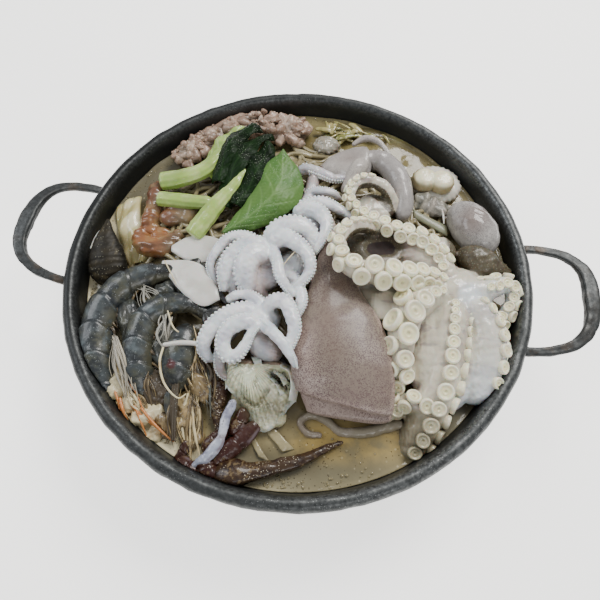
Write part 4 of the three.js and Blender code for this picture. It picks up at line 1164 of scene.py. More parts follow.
def prawn_tangle():
    """The bundles of legs between the prawns, and the pale flesh and roe where their heads lie."""
    made = []
    for seed, (start, end, count, width, size, flesh) in enumerate((
        ([-118, -86, 74], [-97, -122, 66], 34, 3.6, 0.7, (0.3, 0.95)),
        ([-66, -72, 75], [-56, -104, 72], 26, 3.6, 0.7, (0.3, 1.0)),
        ([-62, -84, 73], [-48, -120, 66], 28, 4.5, 0.8, (0.2, 1.0)),
        ([-57, -114, 67], [-48, -150, 59], 28, 4.5, 0.8, (0.3, 1.0)),
        ([-66, -116, 65], [-60, -148, 59], 18, 3.5, 0.8, (0.2, 0.9)),
        ([-100, -120, 65], [-84, -134, 61], 12, 3.2, 0.6, (0.6, 1.0)),
        ([-86, -62, 76], [-80, -86, 73], 14, 4, 0.7, (0.0, 0.4)),
        ([-112, -44, 74], [-92, -60, 75], 12, 4, 0.7, (0.0, 0.3)),
        ([-52, -84, 68], [-40, -122, 64], 20, 4.5, 0.9, (0.05, 0.5)),
        ([-88, -106, 69], [-78, -126, 63], 8, 3, 0.7, (0.2, 0.8)),
    )):
        bundle = wisps(start, end, count, width, size, seed + 1, flesh)
        made += [hair.mark(milky=0.5 * (seed in (0, 6, 7))) for hair in bundle]
    for spot, half, flesh in (
        ((-112, -116, 61), (11, 10, 5), 1.0), ((-96, -127, 60), (11, 7, 4), 1.0),
        ((-70, -136, 58), (6, 11, 4), 0.55), ((-84, -131, 59), (11, 9, 5), 1.0),
        ((-96, -137, 56), (11, 5, 3), 1.0), ((-76, -143, 56), (9, 6, 3), 1.0),
        ((-104, -130, 57), (10, 7, 3), 0.96), ((-58, -126, 61), (9, 14, 6), 0.7),
        ((-52, -106, 66), (7, 14, 6), 0.55), ((-50, -141, 58), (8, 10, 4), 0.65),
        ((-113, -72, 64), (9, 28, 8), 0.0), ((-85, -82, 64), (10, 26, 7), 0.0),
        ((-58, -96, 62), (8, 22, 7), 0.1), ((-80, -112, 62), (8, 13, 6), 0.3),
        ((-110, -103, 61), (7, 16, 5), 0.9), ((-92, -40, 66), (14, 9, 8), 0.0),
    ):
        lump = ball(spot, half, 40, 26, 0.5).mark(flesh=flesh, belly=0.3)
        made.append(lump.pushed(0.9 * ripple(lump.points, 6, int(-spot[0]))
                                + 0.3 * ripple(lump.points, 2.4, 5)))
    for a, b, flesh in (
        ([[-75, -116, 66], [-72, -127, 64], [-66, -137, 61]],
         [[-67, -115, 67], [-63, -126, 64], [-65, -137, 61]], 0.05),
        ([[-62, -118, 66], [-56, -134, 63], [-54, -152, 58]],
         [[-54, -116, 66], [-48, -132, 62], [-52, -152, 58]], 0.75),
        ([[-94, -112, 67], [-86, -124, 63], [-79, -130, 60]],
         [[-87, -110, 68], [-78, -120, 64], [-78, -130, 60]], 0.3),
        ([[-69, -104, 73], [-68, -124, 68], [-63, -146, 60]],
         [[-65, -104, 73], [-62, -124, 69], [-59, -147, 60]], 0.25),
    ):
        blade = sheet(a, b, 20, 50, 0.7, lambda u, v: 3 * u * (1 - u) + 0.3 * np.sin(16 * u + 3 * v))
        made.append(blade.mark(flesh=flesh, belly=0.5))
    return made


def prawn_whiskers():
    """Long feelers, broken legs and strands of roe that lie about the prawns."""
    pale = [
        ([[-79, -89, 82], [-78, -100, 83], [-71, -114, 81], [-60, -121, 78], [-56, -117, 77]], 0.8),
        ([[-84, -62, 82], [-76, -74, 80], [-66, -78, 79]], 0.6),
        ([[-100, -20, 77], [-92, -30, 79], [-84, -40, 80]], 0.5),
        ([[3, -2, 97], [-2, -11, 98], [-7, -21, 98]], 0.5),
    ]
    amber = [
        ([[-104, -125, 66], [-99, -133, 66], [-95, -139, 62]], 1.1),
        ([[-88, -129, 65], [-79, -136, 64], [-70, -142, 62], [-61, -147, 58]], 1.0),
        ([[-93, -128, 64], [-86, -138, 62], [-80, -147, 58]], 0.8),
        ([[-109, -121, 66], [-103, -131, 64], [-104, -138, 60]], 0.9),
        ([[-103, -112, 67], [-94, -120, 65], [-86, -130, 63], [-78, -134, 61]], 0.6),
        ([[-96, -128, 63], [-84, -135, 62], [-72, -141, 60]], 1.2),
    ]
    made = [tube(route, [size, size, size * 0.5], 10, 40).mark(flesh=0.85, roe=1) for route, size in amber]
    return made + [tube(route, [size, size, size * 0.6], 10, 40).mark(flesh=1) for route, size in pale]


def tail_fan(base, heading, size):
    """The swimming fan at a prawn's end: four thin blades spread round its tip."""
    base = np.array(base, float)
    made = []
    for turn in (-0.75, -0.25, 0.25, 0.75):
        way = np.array([math.cos(heading + turn), math.sin(heading + turn), 0.0])
        side = np.array([-way[1], way[0], 0.0])
        reach = size * (1.1 - 0.25 * abs(turn))
        edges = [[base + side * s, base + way * reach * 0.5 + side * s * size * 0.24 + UP * 0.8,
                  base + way * reach * 0.9 + side * s * size * 0.2, base + way * reach + side * s * 0.6]
                  for s in (-1, 1)]
        made.append(sheet(*edges, 12, 22, 0.9, lambda u, v: 0.8 * np.sin(np.pi * u)).mark(tail=1, lap=0.2))
    return made


def prawn_finish(shell, shade, sheen):
    """Raw prawn shell: slate blue, darker along its plates' edges as painted shade where each plate tucks
    under the next, with olive patches and tan legs.
    """
    f = Finish("prawn_shell")
    blotch = f.noise(5.5, 4.0, 0.6)
    limb = f.value("flesh")
    tone = f.layered(
        shell,
        (sheen, blotch.step(0.5, 0.66) * 0.75),
        ("#4a4937", f.patches(9.0, 0.44, 0.6) * 0.8),
        # painted shade where each plate tucks under the next
        (shade, f.value("lap") * 0.6),
        (shade, f.noise(4.6, 4.0, 0.65).step(0.44, 0.58) * 0.85),
        ("#7b878c", f.value("ridge") * f.patches(5.0, 0.4, 0.6) * 0.4),
        ("#1c1b17", f.value("tail") * f.noise(1.6, 3.0, 0.6, (0.3, 1, 1)).step(0.3, 0.6)),
        ("#541f22", f.value("red").step(0.15, 0.7) * 0.8),
        ("#55523f", f.value("belly") * f.patches(4.0, 0.35, 0.6) * 0.8),
        ("#4d4232", limb.step(0.05, 0.3)),
        ("#85714c", limb.step(0.3, 0.6)),
        ("#bda878", limb.step(0.6, 0.9)),
        ("#e6dab0", limb.step(0.9, 1.0) * 0.85),
        ("#b98a48", limb.step(0.5, 1.0) * f.patches(8.0, 0.55, 0.66, 2.0) * 0.5),
        ("#4c3c2a", (limb.step(0.2, 0.6) - limb.step(0.9, 1.0) * 0.85)
         * f.noise(3.0, 4.0, 0.6).step(0.5, 0.6) * 0.75),
        ("#c9c6b8", f.value("milky")),
        ("#d07a34", f.value("roe") * 0.8),
        ("#c3caca", f.dots(1.5, 0.2, clumps=6.0) * 0.6),
    )
    normal = f.bump(f.noise(1.6, 3.0), 0.18, f.bump(f.noise(5.0, 2.0), 0.5))
    return f.done(tone, 0.3 + f.noise(4.0) * 0.2, normal, Coat_Weight=0.4, Coat_Roughness=0.16)


# ---------- crab ----------

CRAB_LEGS = {
    "crab_leg_back": ([[-58, -84, 65], [-50, -100, 63], [-42, -116, 60]], [4, 5, 4.5, 3], 0.15),
    "crab_leg_middle": ([[-44, -110, 62], [-36, -123, 60], [-29, -137, 58]], [4, 5, 5, 3.5], 0.2),
    "crab_leg_tip": ([[-50, -144, 60], [-54, -153, 58], [-59, -160, 57]], [4, 3.5, 1], 0.8),
    "crab_leg_short": ([[-16, -117, 66], [-19, -127, 64], [-23, -137, 61]], [4, 5, 4], 1.0),
    "crab_leg_front": ([[-6, -125, 63], [-16, -139, 62], [-26, -150, 61], [-31, -158, 59]],
                       [4, 6, 6, 4], 1.0),
}
CRAB_LOOSE = [
    ([[-58, -158, 58], [-46, -162, 59], [-34, -166, 58]], [3, 6, 5, 2], 1.0),
    ([[-36, -150, 59], [-34, -160, 60], [-24, -163, 60]], [4, 7, 6, 3], 0.9),
    ([[-54, -86, 67], [-55, -97, 66], [-50, -106, 65]], [3, 6, 6, 3], 0.5),
    ([[-46, -96, 64], [-38, -108, 63], [-34, -120, 61]], [3, 5, 5, 2], 0.4),
    ([[-26, -134, 62], [-34, -142, 61], [-40, -150, 59]], [3, 5, 5, 3], 1.0),
]
PALE_LEG = ([[-25, -114, 70], [-28, -128, 69], [-29, -142, 67], [-36, -154, 65], [-46, -162, 60]],
            [2.4, 3.3, 2.9, 3.9, 3.3, 1.2])
CRAB_PIVOT = [[-22, -91, 76], [-20, -90, 77], [-18, -90, 76]]
CRAB_EDGE = [[-35, -91, 70], [-32, -106, 68], [-23, -113, 66], [-14, -123, 64], [-2, -131, 61],
             [5, -126, 61], [13, -112, 63], [17, -105, 65], [15, -92, 69], [9, -87, 72]]
CLAW = ([[-29, -162, 61], [-19, -161, 61], [-5, -158, 61], [10, -152, 60], [26, -145, 60], [41, -135, 59],
         [53, -128, 59]],
        [5, 9, 6, 5.4, 4.6, 3.4, 2.6, 1.2])


def crab_limb(route, radii, maroon, seed):
    """A leg or claw with a ridge along it and a narrow joint part of the way."""

    def ridged(along, angle):
        joint = 1 - 0.16 * np.exp(-((along - 0.46) / 0.03) ** 2)
        return joint * (1 + 0.07 * np.cos(3 * angle) + 0.03 * np.cos(5 * angle))

    shape = tube(route, radii, 36, 80, 0.85, (1, 1), ridged)
    along, angle = shape.fields["along"], shape.fields["turn"] * 2 * np.pi
    shape.mark(maroon=maroon, joint=np.exp(-((along - 0.46) / 0.04) ** 2),
               ridge=step(np.sin(3 * angle), 0.6, 1))
    return shape.pushed(0.2 * ripple(shape.points, 5, seed) + 0.1 * ripple(shape.points, 1.6, seed + 1))


def crab_body_shape():
    """The cut half of the crab: meat fans out from its corner over a dark jelly hollow and a fatty lobe."""

    def hollow_at(u, v):
        return np.exp(-(((u - 0.64) / 0.24) ** 2 + ((v - 0.86) / 0.08) ** 2))

    def lift(u, v):
        fibre = np.sin(150 * v + 3 * np.sin(9 * v)) * (1 - step(v, 0.55, 0.7)) * np.sin(np.pi * u)
        crease = (np.exp(-(((u - 0.66 - 0.1 * np.sin(7 * v)) / 0.05) ** 2)) * step(v, 0.2, 0.32)
                  * (1 - step(v, 0.66, 0.76)))
        return (5 * np.sin(np.pi * u) ** 0.8 + 0.3 * fibre - 2.4 * crease - 8 * hollow_at(u, v)
                + 0.7 * np.sin(47 * v) * step(u, 0.75, 1))

    fan = sheet(CRAB_PIVOT, CRAB_EDGE, 80, 260, 1.2, lift)
    u, v = fan.fields["u"], fan.fields["v"]
    hollow = hollow_at(u, v)
    fan.mark(fibre=0.5 + 0.5 * np.sin(150 * v + 3 * np.sin(9 * v)), hollow=hollow, shell=step(u, 0.9, 1.0))
    fan.pushed(1.6 * hollow * ripple(fan.points, 4, 11) + 0.5 * ripple(fan.points, 9, 4)
               + 0.2 * ripple(fan.points, 3, 6))
    body = fused([
        ball((-9, -106, 61), (20, 20, 9), 60, 40), ball((4, -118, 58), (9, 9, 6), 40, 24, 0.5),
        ball((-19, -91, 67), (14, 8, 9), 40, 24), ball((-3, -88, 70), (10, 6, 6), 30, 20),
        ball((10, -96, 62), (6, 10, 6), 30, 20),
    ], 0.8, 3)
    body.mark(fibre=0.5, low=step(body.points[:, 1], -97, -88))
    return join([fan, body.pushed(0.6 * ripple(body.points, 9, 4))])


def crab_flaps():
    """Thin shell and skin that stand up round the cut, and a lacy edge at the dark hollow."""
    made = []
    for a, b, wave in (
        ([[-38, -85, 67], [-36, -96, 68], [-33, -108, 67]],
         [[-24, -83, 78], [-26, -91, 79], [-28, -101, 74]], 0.6),
        ([[-19, -84, 75], [-15, -90, 77], [-12, -96, 76]],
         [[-12, -83, 76], [-10, -89, 78], [-7, -96, 76]], 0.5),
        ([[4, -83, 71], [12, -87, 72], [17, -97, 70], [17, -108, 65]],
         [[2, -88, 78], [9, -92, 78], [12, -100, 77], [12, -109, 72]], 1.0),
        ([[-6, -93, 74], [2, -97, 70], [9, -104, 69]], [[-4, -97, 77], [2, -101, 74], [6, -107, 73]], 1.2),
        ([[-2, -90, 74], [5, -92, 72], [10, -97, 71]], [[-1, -93, 77], [3, -95, 75], [7, -100, 74]], 1.2),
    ):
        flap = sheet(a, b, 24, 60, 0.7, lambda u, v: wave * np.sin(21 * v + 3 * u) * u)
        made.append(flap.mark(fibre=0.9, shell=1))
    return made


def crab_flesh_finish(colour, shade):
    """Wet crab meat: green-cream fibres, a dark jelly in the hollow and thin bright edges."""
    f = Finish("crab_flesh")
    tone = f.layered(
        colour,
        (shade, f.patches(9.0, 0.42, 0.6) * 0.85),
        ("#8f8d6c", (1 - f.value("fibre")) * 0.5),
        ("#dfe0c8", f.patches(8.0, 0.54, 0.7, 4.0) * 0.5),
        ("#6a5f45", f.patches(7.0, 0.58, 0.64, 4.0) * 0.35),
        ("#96796c", f.value("low") * 0.8),
        ("#373c33", f.value("hollow").step(0.12, 0.5) * f.patches(2.6, 0.36, 0.5)),
        ("#e9ece8", f.value("shell") * f.patches(3.0, 0.3, 0.55) * 0.8),
    )
    normal = f.bump(f.noise(2.4, 3.0), 0.2)
    return f.done(tone, 0.26, normal, **juicy(0.2, 0.4, 0.1, 0.004))


def crab_shell_finish(brown, maroon):
    """Crab shell: mottled dark brown with cream dots, turning maroon and lilac on the front legs."""
    f = Finish("crab_shell")
    blotch = f.noise(3.4, 4.0, 0.65)
    tone = f.layered(
        brown,
        ("#231711", blotch.step(0.46, 0.6) * 0.85),
        (maroon, f.value("maroon") * 0.8),
        ("#8f8389", f.value("maroon") * f.value("ridge") * f.patches(8.0, 0.5, 0.66) * 0.5),
        ("#7d6a4a", f.noise(1.3, 3.0, 0.65, (1, 1, 0.4)).step(0.52, 0.6) * f.patches(9.0, 0.44, 0.6, 2.0)
         * 0.65),
        ("#d8cfb6", f.dots(1.5, 0.26) * f.patches(5.0, 0.5, 0.62, 2.0) * 0.8),
    )
    return f.done(tone, 0.36, f.bump(f.noise(1.3, 3.0), 0.3), Specular_IOR_Level=0.3, Coat_Weight=0.3,
                  Coat_Roughness=0.12)


def pearl_finish(colour):
    """The pale leg: bluish and pearly, with brown speckles near its ends."""
    f = Finish("pale_pearl_shell")
    tone = f.layered(
        colour,
        ("#dfe2ea", f.patches(4.0, 0.45, 0.65) * 0.7),
        ("#7b7a90", f.patches(6.0, 0.46, 0.62) * 0.8),
        ("#6f4a44", f.value("ridge") * f.patches(5.0, 0.45, 0.6) * 0.6),
        ("#4a3330", f.dots(2.2, 0.3, clumps=7.0) * 0.6),
        ("#6b4a40", f.value("joint") * 0.5),
    )
    return f.done(tone, 0.25, f.bump(f.noise(1.5), 0.12), Coat_Weight=0.5, Coat_Roughness=0.12)


# ---------- shellfish ----------


def mussel_shape():
    """A closed mussel with raised growth rings and its dark flanks low on the wall."""
    route = [[-157, 11, 74], [-154, -5, 71], [-149, -23, 65], [-144, -41, 57]]

    def grown(along, angle):
        keel = 0.06 * np.sin(angle) ** 6
        return 1 + 0.012 * np.sin(90 * along**0.8 + 1.5 * np.cos(angle)) + keel

    shape = tube(route, [1, 6, 11, 14.5, 14.5, 8], 90, 220, 0.62, (1, 1), grown)
    along, angle = shape.fields["along"], shape.fields["turn"] * 2 * np.pi
    shape.mark(ring=0.5 + 0.5 * np.sin(46 * along**0.8 + 1.5 * np.cos(angle)),
               flank=step(np.abs(np.cos(angle)), 0.62, 0.95))
    return shape.pushed(0.25 * ripple(shape.points, 8, 2))


def mussel_finish(brown, black):
    f = Finish("mussel_shell")
    tone = f.layered(
        black,
        (brown, (1 - f.value("flank")) * (0.35 + f.value("ring") * 0.35)),
        ("#6e6142", (1 - f.value("flank")) * f.noise(3.0, 3.0, 0.6, (1, 0.25, 1)).step(0.55, 0.7) * 0.5),
        (black, f.patches(9.0, 0.5, 0.62) * 0.6),
        ("#b8b49a", f.dots(1.8, 0.22, clumps=6.0) * 0.5),
    )
    return f.done(tone, 0.5, f.bump(f.noise(1.2, 3.0), 0.15), Specular_IOR_Level=0.25)


def frilled(centre, half, sides, rows, flat, frills, depth, bumps):
    """A rounded lump whose edge is frilled, as loose meat or a ribbed dish has it."""
    shape = ball(centre, half, sides, rows)
    x, y, _ = (shape.points - centre).T
    rim = 1 - step(np.abs(shape.fields["height"]), 0.1, flat)
    return shape.mark(rim=rim).pushed(depth * np.sin(frills * np.arctan2(y, x)) * rim + bumps(shape.points))


def scallop_meat_shape():
    """Two round halves of scallop side by side, flat on top, with a rim marked round their sides."""
    made = []
    for x, seed in ((94, 3), (108, 4)):
        shape = ball((x, 98, 67), (11, 11, 9), 80, 44)
        out = np.hypot(shape.points[:, 0] - x, shape.points[:, 1] - 98) / 11
        flat = step(shape.fields["height"], 0.75, 1.0)
        shape.mark(rim=step(out, 0.72, 0.95) * (1 - step(shape.fields["height"], 0.55, 0.8)))
        shape.pushed(-1.0 * flat + 0.25 * ripple(shape.points, 5, seed))
        made.append(shape)
    return join(made)


def skirt_shape():
    """The grey mantle of the scallop, slumped in soft folds."""
    shape = fused([ball((101, 76, 61), (16, 10, 6), 60, 40), ball((94, 80, 64), (8, 7, 4.5), 40, 24, 0.5),
                   ball((108, 72, 63), (8, 6, 4), 40, 24, -0.4)], 0.7, 5)
    fold = np.sin(0.75 * shape.points[:, 0] + 2 * ripple(shape.points, 16, 3))
    # The raised crests of the folds are made paler: painted highlight.
    shape.mark(edge=0.4 + 0.3 * fold, dent=0)
    return shape.pushed(0.5 * fold + 0.3 * ripple(shape.points, 4, 6))


def squirt_finish(colour, deep):
    """Orange-brown translucent sac, reddish at its top and beige where it thins."""
    f = Finish("sea_squirt_skin")
    tone = f.layered(
        colour,
        ("#9c6436", f.value("bright") * f.patches(9.0, 0.3, 0.6, 2.0) * 0.9),
        ("#7f6f55", f.value("thin") * 0.9),
        (deep, f.patches(8.0, 0.46, 0.64) * 0.8),
        ("#96805a", f.patches(9.0, 0.5, 0.66) * 0.6),
    )
    normal = f.bump(f.noise(6.0, 2.0), 0.12)
    return f.done(tone, 0.3, normal, **juicy(0.15, 0.45))


def squirt_shapes():
    """Three wrinkled sacs between the stalks and the wall."""
    groups = {
        "sea_squirt_long": [tube([[-134, 61, 62], [-129, 44, 67], [-126, 27, 68], [-128, 12, 64]],
                                 [3, 6.5, 7, 7.5, 4]),
                            tube([[-132, 16, 62], [-124, 12, 63], [-119, 20, 62]], [5, 6, 4])],
        "sea_squirt_round": [ball((-107, 27, 68), (13, 10, 8), yaw=0.4),
                             tube([[-104, 20, 67], [-96, 30, 67], [-92, 38, 65]], [6, 7, 4])],
        "sea_squirt_low": [tube([[-131, 16, 62], [-130, 4, 63], [-122, -4, 64], [-111, -4, 65],
                                 [-103, 4, 65], [-98, 15, 64]],
                                [5, 8, 8.5, 8, 7, 5]), ball((-114, 8, 62), (11, 9, 6))],
    }
    made = {}
    for seed, (name, shapes) in enumerate(groups.items()):
        shape = made[name] = fused(shapes, 0.7, 6)
        x, y, _ = shape.points.T
        shape.mark(bright=1 - step(y, 10, 36) if seed != 1 else 0, thin=step(x, -114, -98))
        shape.pushed(0.7 * ripple(shape.points, 14, 20 + seed)
                     + 0.35 * np.sin(0.9 * y + 2 * ripple(shape.points, 20, seed)))
    return made


# ---------- vegetables ----------


def leaf(edge_a, edge_b, bulge, wave, veins, seed):
    """A leaf blade with a raised midrib, side veins and a frilled edge."""

    def lift(u, v):
        frill = (wave * np.sin(2 * np.pi * 2 * v + 3 * u)
                 + 0.9 * wave * np.sin(19 * v + 5 * u) * np.abs(2 * u - 1) ** 3)
        return 4 * bulge * u * (1 - u) + frill

    shape = sheet(edge_a, edge_b, 90, 150, 1.6, lift)
    u, v = shape.fields["u"], shape.fields["v"]
    off = np.abs(u - 0.5)
    rib = np.exp(-((off / (0.045 - 0.025 * v)) ** 2))
    side = np.exp(-((((v * veins - off * 3.2) % 1) - 0.5) / 0.09) ** 2) * (1 - step(off, 0.3, 0.48))
    shape.mark(vein=np.clip(rib + 0.6 * side, 0, 1))
    upper = step(shape.normals()[:, 2], -0.2, 0.3)
    puff = (1 - side) * (1 - rib) * upper
    return shape.pushed(0.3 * puff + 0.25 * ripple(shape.points, 6, seed) + 0.4 * rib * upper)


def leaf_finish(name, colour, deep, vein, gloss=0.42, sheen=0.25):
    """Cooked leaf: blotched green with paler veins and a wet sheen."""
    f = Finish(name)
    tone = f.layered(
        colour,
        (deep, f.patches(9.0, 0.42, 0.64, 4.0) * 0.75),
        (vein, f.value("vein") * 0.25),
        ("#dfe8cf", f.dots(1.3, 0.2, clumps=9.0) * 0.5),
    )
    relief = f.noise(1.6, 3.0) * 0.4 + f.noise(5.0, 2.0) * 0.3
    return f.done(tone, gloss, f.bump(relief, 0.16), Specular_IOR_Level=sheen)


def stem_shape(route, radii, squash, seed):
    """A fleshy stalk with shallow grooves along it."""
    ribs = 9

    def grooved(along, angle):
        return 1 + 0.035 * np.cos(ribs * angle + 0.6 * np.sin(6 * along))

    shape = tube(route, radii, 54, 90, squash, (0.35, 1), grooved)
    turn = shape.fields["turn"] * 2 * np.pi
    shape.mark(stem=0.75 + 0.25 * np.cos(ribs * turn), cut=1 - step(shape.fields["along"], 0.0, 0.03))
    return shape.pushed(0.15 * ripple(shape.points, 6, seed))


def stem_finish(colour, pale):
    """Bok choy stalk: bright green, paler along its ribs and at its cut end."""
    f = Finish("stalk_skin")
    tone = f.layered(
        colour,
        (pale, f.value("stem") * f.patches(5.0, 0.35, 0.65) * 0.8),
        ("#7d9b45", f.patches(10.0, 0.48, 0.64) * 0.6),
        ("#dfe6b4", f.value("cut") * 0.8),
        ("#e4ecc4", f.value("vein") * 0.5),
    )
    return f.done(tone, 0.22, f.bump(f.noise(2.0), 0.12), **juicy(0.1, 0.5, 0.08))


def slice_shape(edge_a, edge_b, bulge, seed):
    """A smooth slice of radish, curled a little and thicker in its middle."""
    shape = sheet(edge_a, edge_b, 60, 90, 3.0, lambda u, v: 4 * bulge * u * (1 - u))
    u, v = shape.fields["u"], shape.fields["v"]
    shape.mark(rim=step(np.maximum(np.abs(2 * u - 1), np.abs(2 * v - 1)), 0.86, 0.98))
    return shape.pushed(0.18 * ripple(shape.points, 12, seed))


def smooth_finish(name, colour, rim_and_highlight_colour, deep, gloss=0.3, specks=0.0):
    """Smooth moist food with a darker rim and faint patches."""
    f = Finish(name)
    tone = f.layered(
        colour,
        (deep, f.patches(8.0, 0.45, 0.66) * 0.55),
        # On the cabbage this mask marks raised ridges instead, and its colour there is a painted highlight.
        (rim_and_highlight_colour, f.value("rim") * 0.75),
        ("#6b5738", f.dots(2.6, 0.2, clumps=8.0) * specks),
    )
    return f.done(tone, gloss, f.bump(f.noise(2.4, 3.0), 0.14), **juicy(0.15, 0.35))


# ---------- heaps ----------

MEAT_ROUTE = [[-126, 88, 58], [-110, 109, 60], [-91, 131, 60], [-66, 142, 60], [-38, 140, 60], [-15, 135, 58]]
MEAT_RADII = [8, 10, 11, 12, 13, 11, 8]
GREENS_ROUTE = [[0, 139, 57], [25, 152, 57], [55, 155, 57], [82, 146, 57], [103, 130, 56]]


def crumbs(route, radii, count, sizes, seed, flat=1.0):
    """Lumps of uneven size laid close together over a heap along a route."""
    draw = np.random.default_rng(seed)
    shares = np.linspace(0, 1, 200)
    line, _ = smooth_line(route, shares)
    _, left, top = frames(line)
    reach = spread(radii, shares)
    made = []
    for _ in range(count):
        k = draw.integers(4, 196)
        lean = draw.uniform(-1.35, 1.35)
        size = draw.uniform(*sizes)
        spot = (line[k] + left[k] * math.sin(lean) * reach[k] * 1.15
                + top[k] * math.cos(lean) * reach[k] * flat)
        spot[2] = max(spot[2], SOUP_LEVEL + 0.4 * size)
        if math.hypot(spot[0], spot[1]) > 160 - size:
            continue
        half = size * draw.uniform([0.7, 0.7, 0.5], [1.5, 1.1, 0.9])
        shape = ball(spot, half, 24, 16, draw.uniform(0, 6), draw.uniform(-0.7, 0.7))
        shape.pushed(0.2 * size * ripple(shape.points + seed, 1.1 * size, int(draw.integers(1, 999)), 3))
        made.append(shape.mark(shade=draw.uniform(0, 1)))
    return made


def meat_finish(colour, pale, deep):
    """Cooked minced meat: pink-tan crumbs, some paler, with wet brown hollows."""
    f = Finish("minced_meat")
    tone = f.layered(
        colour,
        (pale, f.value("shade").step(0.55, 1.0) * 0.8),
        (deep, (1 - f.value("shade").step(0.0, 0.4)) * 0.65),
        (deep, f.noise(3.4, 4.0, 0.65).step(0.5, 0.64) * 0.6),
        (pale, f.patches(1.6, 0.56, 0.7) * 0.5),
    )
    normal = f.bump(f.noise(1.4, 4.0, 0.7), 0.4)
    return f.done(tone, 0.36, normal, **juicy(0.08, 0.25, 0.15, 0.002))


def greens_shape():
    """Strips of cabbage and sprouts heaped against the back of the pot."""
    draw = np.random.default_rng(77)
    line, _ = smooth_line(GREENS_ROUTE, np.linspace(0, 1, 200))
    ahead, left, _ = frames(line)
    made = [tube(GREENS_ROUTE, [6, 7, 7, 7, 5], 30, 60, 0.35).moved([0, 0, -2]).mark(shade=0.3)]
    for _ in range(120):
        k = draw.integers(8, 192)
        out = draw.uniform(-13, 9)
        heading = math.atan2(ahead[k][1], ahead[k][0]) + draw.normal(0, 0.9)
        way = np.array([math.cos(heading), math.sin(heading), 0.0])
        middle = line[k] - left[k] * out + UP * draw.uniform(0.5, 5.5)
        middle[2] = max(middle[2], SOUP_LEVEL + 1.0)
        reach = draw.uniform(4, 12)
        route = [middle - way * reach, middle + UP * draw.uniform(0, 2),
                 middle + way * reach - UP * draw.uniform(0, 2)]
        if max(math.hypot(*spot[:2]) for spot in route) > 161:
            continue
        size = draw.uniform(0.8, 2.8)
        strip = tube(route, [size * 0.6, size, size, size * 0.5], 14, 26, draw.uniform(0.35, 0.75))
        strip.points[:, 2] = np.maximum(strip.points[:, 2], SOUP_LEVEL + 0.1)
        made.append(strip.mark(shade=draw.uniform(0, 1)).pushed(0.2 * ripple(strip.points, 4, int(k))))
    return join(made)


def greens_finish(colour, leafy):
    """Cabbage and sprouts: yellow-cream strips among greener ones."""
    f = Finish("back_greens")
    tone = f.layered(
        colour,
        (leafy, f.value("shade").step(0.45, 0.8) * 0.85),
        ("#6d6a34", f.patches(6.0, 0.5, 0.64) * 0.7),
        ("#efe6b8", f.patches(2.6, 0.56, 0.72) * 0.6),
    )
    return f.done(tone, 0.26, f.bump(f.noise(1.8, 3.0), 0.25), **juicy(0.1, 0.4, 0.1))


FLAT_NOODLES = {
    "noodle_left": ([[-16, -131, 57], [-9, -139, 57], [-2, -147, 56.5]],
                    [[-8, -134, 57], [-1, -142, 57], [6, -149, 56.5]]),
    "noodle_right": ([[-8, -125, 57], [2, -132, 57.5], [13, -141, 57]],
                     [[0, -122, 57], [10, -130, 57.5], [21, -138, 57]]),
}


# ---------- stage ----------

CAMERA_PLACE = Vector((0.03162, -0.179443, 0.388102))
CAMERA_DISTANCE = 0.353
CAMERA_AZIMUTH = 9.457
CAMERA_ELEVATION = 64.963
LENS = 28.072
SENSOR_WIDTH = 36.0
LIGHT_AIM = Vector((0, 0, 0.06))
SKY_COLOUR = (0.92, 0.95, 1.0, 1.0)
SKY_STRENGTH = 0.42
LIGHTS = [
    ("key_light", (0.45, 0.85, 1.2), (0.8, 0.6), 23.0, (1.0, 0.98, 0.95)),
    ("fill_light", (-1.0, 0.1, 0.9), (0.6, 0.6), 6.0, (0.93, 0.96, 1.0)),
    ("front_light", (0.5, -1.2, 1.0), (0.8, 0.5), 5.0, (1.0, 1.0, 1.0)),
]


def floor_shape():
    """A wide table top."""
    x, y = np.meshgrid(*[np.linspace(-4000, 4000, 60)] * 2)
    return lattice(np.stack([x, y, np.full_like(x, -0.4)], -1))


def glowing_floor_finish(colour):
    f = Finish("glowing_pale_floor")
    tone = f.mix(colour, "#e9e7e2", f.patches(300.0, 0.4, 0.7, 2.0) * 0.3)
    # The floor glows: painted light that keeps it white and throws a little light back onto the pot.
    return f.done(tone, 0.6, None, 0, Emission_Color=tint(colour), Emission_Strength=1.7)


# ---------- settings ----------


def colour_setting(name, thing, default):
    return bpy.props.FloatVectorProperty(
        name=name, description=f"Colour of {thing}", default=tint(default)[:3], size=3, min=0.0, max=1.0,
        subtype="COLOR")


class PotSettings(bpy.types.PropertyGroup):
    iron: colour_setting("Iron", "the seasoned iron", "#2f3131")
    # This colour also paints the glints on the rim and handles.
    worn: colour_setting("Worn iron", "the rubbed rim and handles", "#8a8d8c")


class BrothSettings(bpy.types.PropertyGroup):
    broth: colour_setting("Broth", "the broth", "#8c7f5a")
    cloud: colour_setting("Cloud", "the clouds of fat in the broth", "#a3966d")
    noodle: colour_setting("Noodle", "the noodles and sprouts", "#a39873")
    strand_count: bpy.props.IntProperty(
        name="Noodle strands", description="Number of noodle strands on the mound", default=150, min=20,
        max=400)


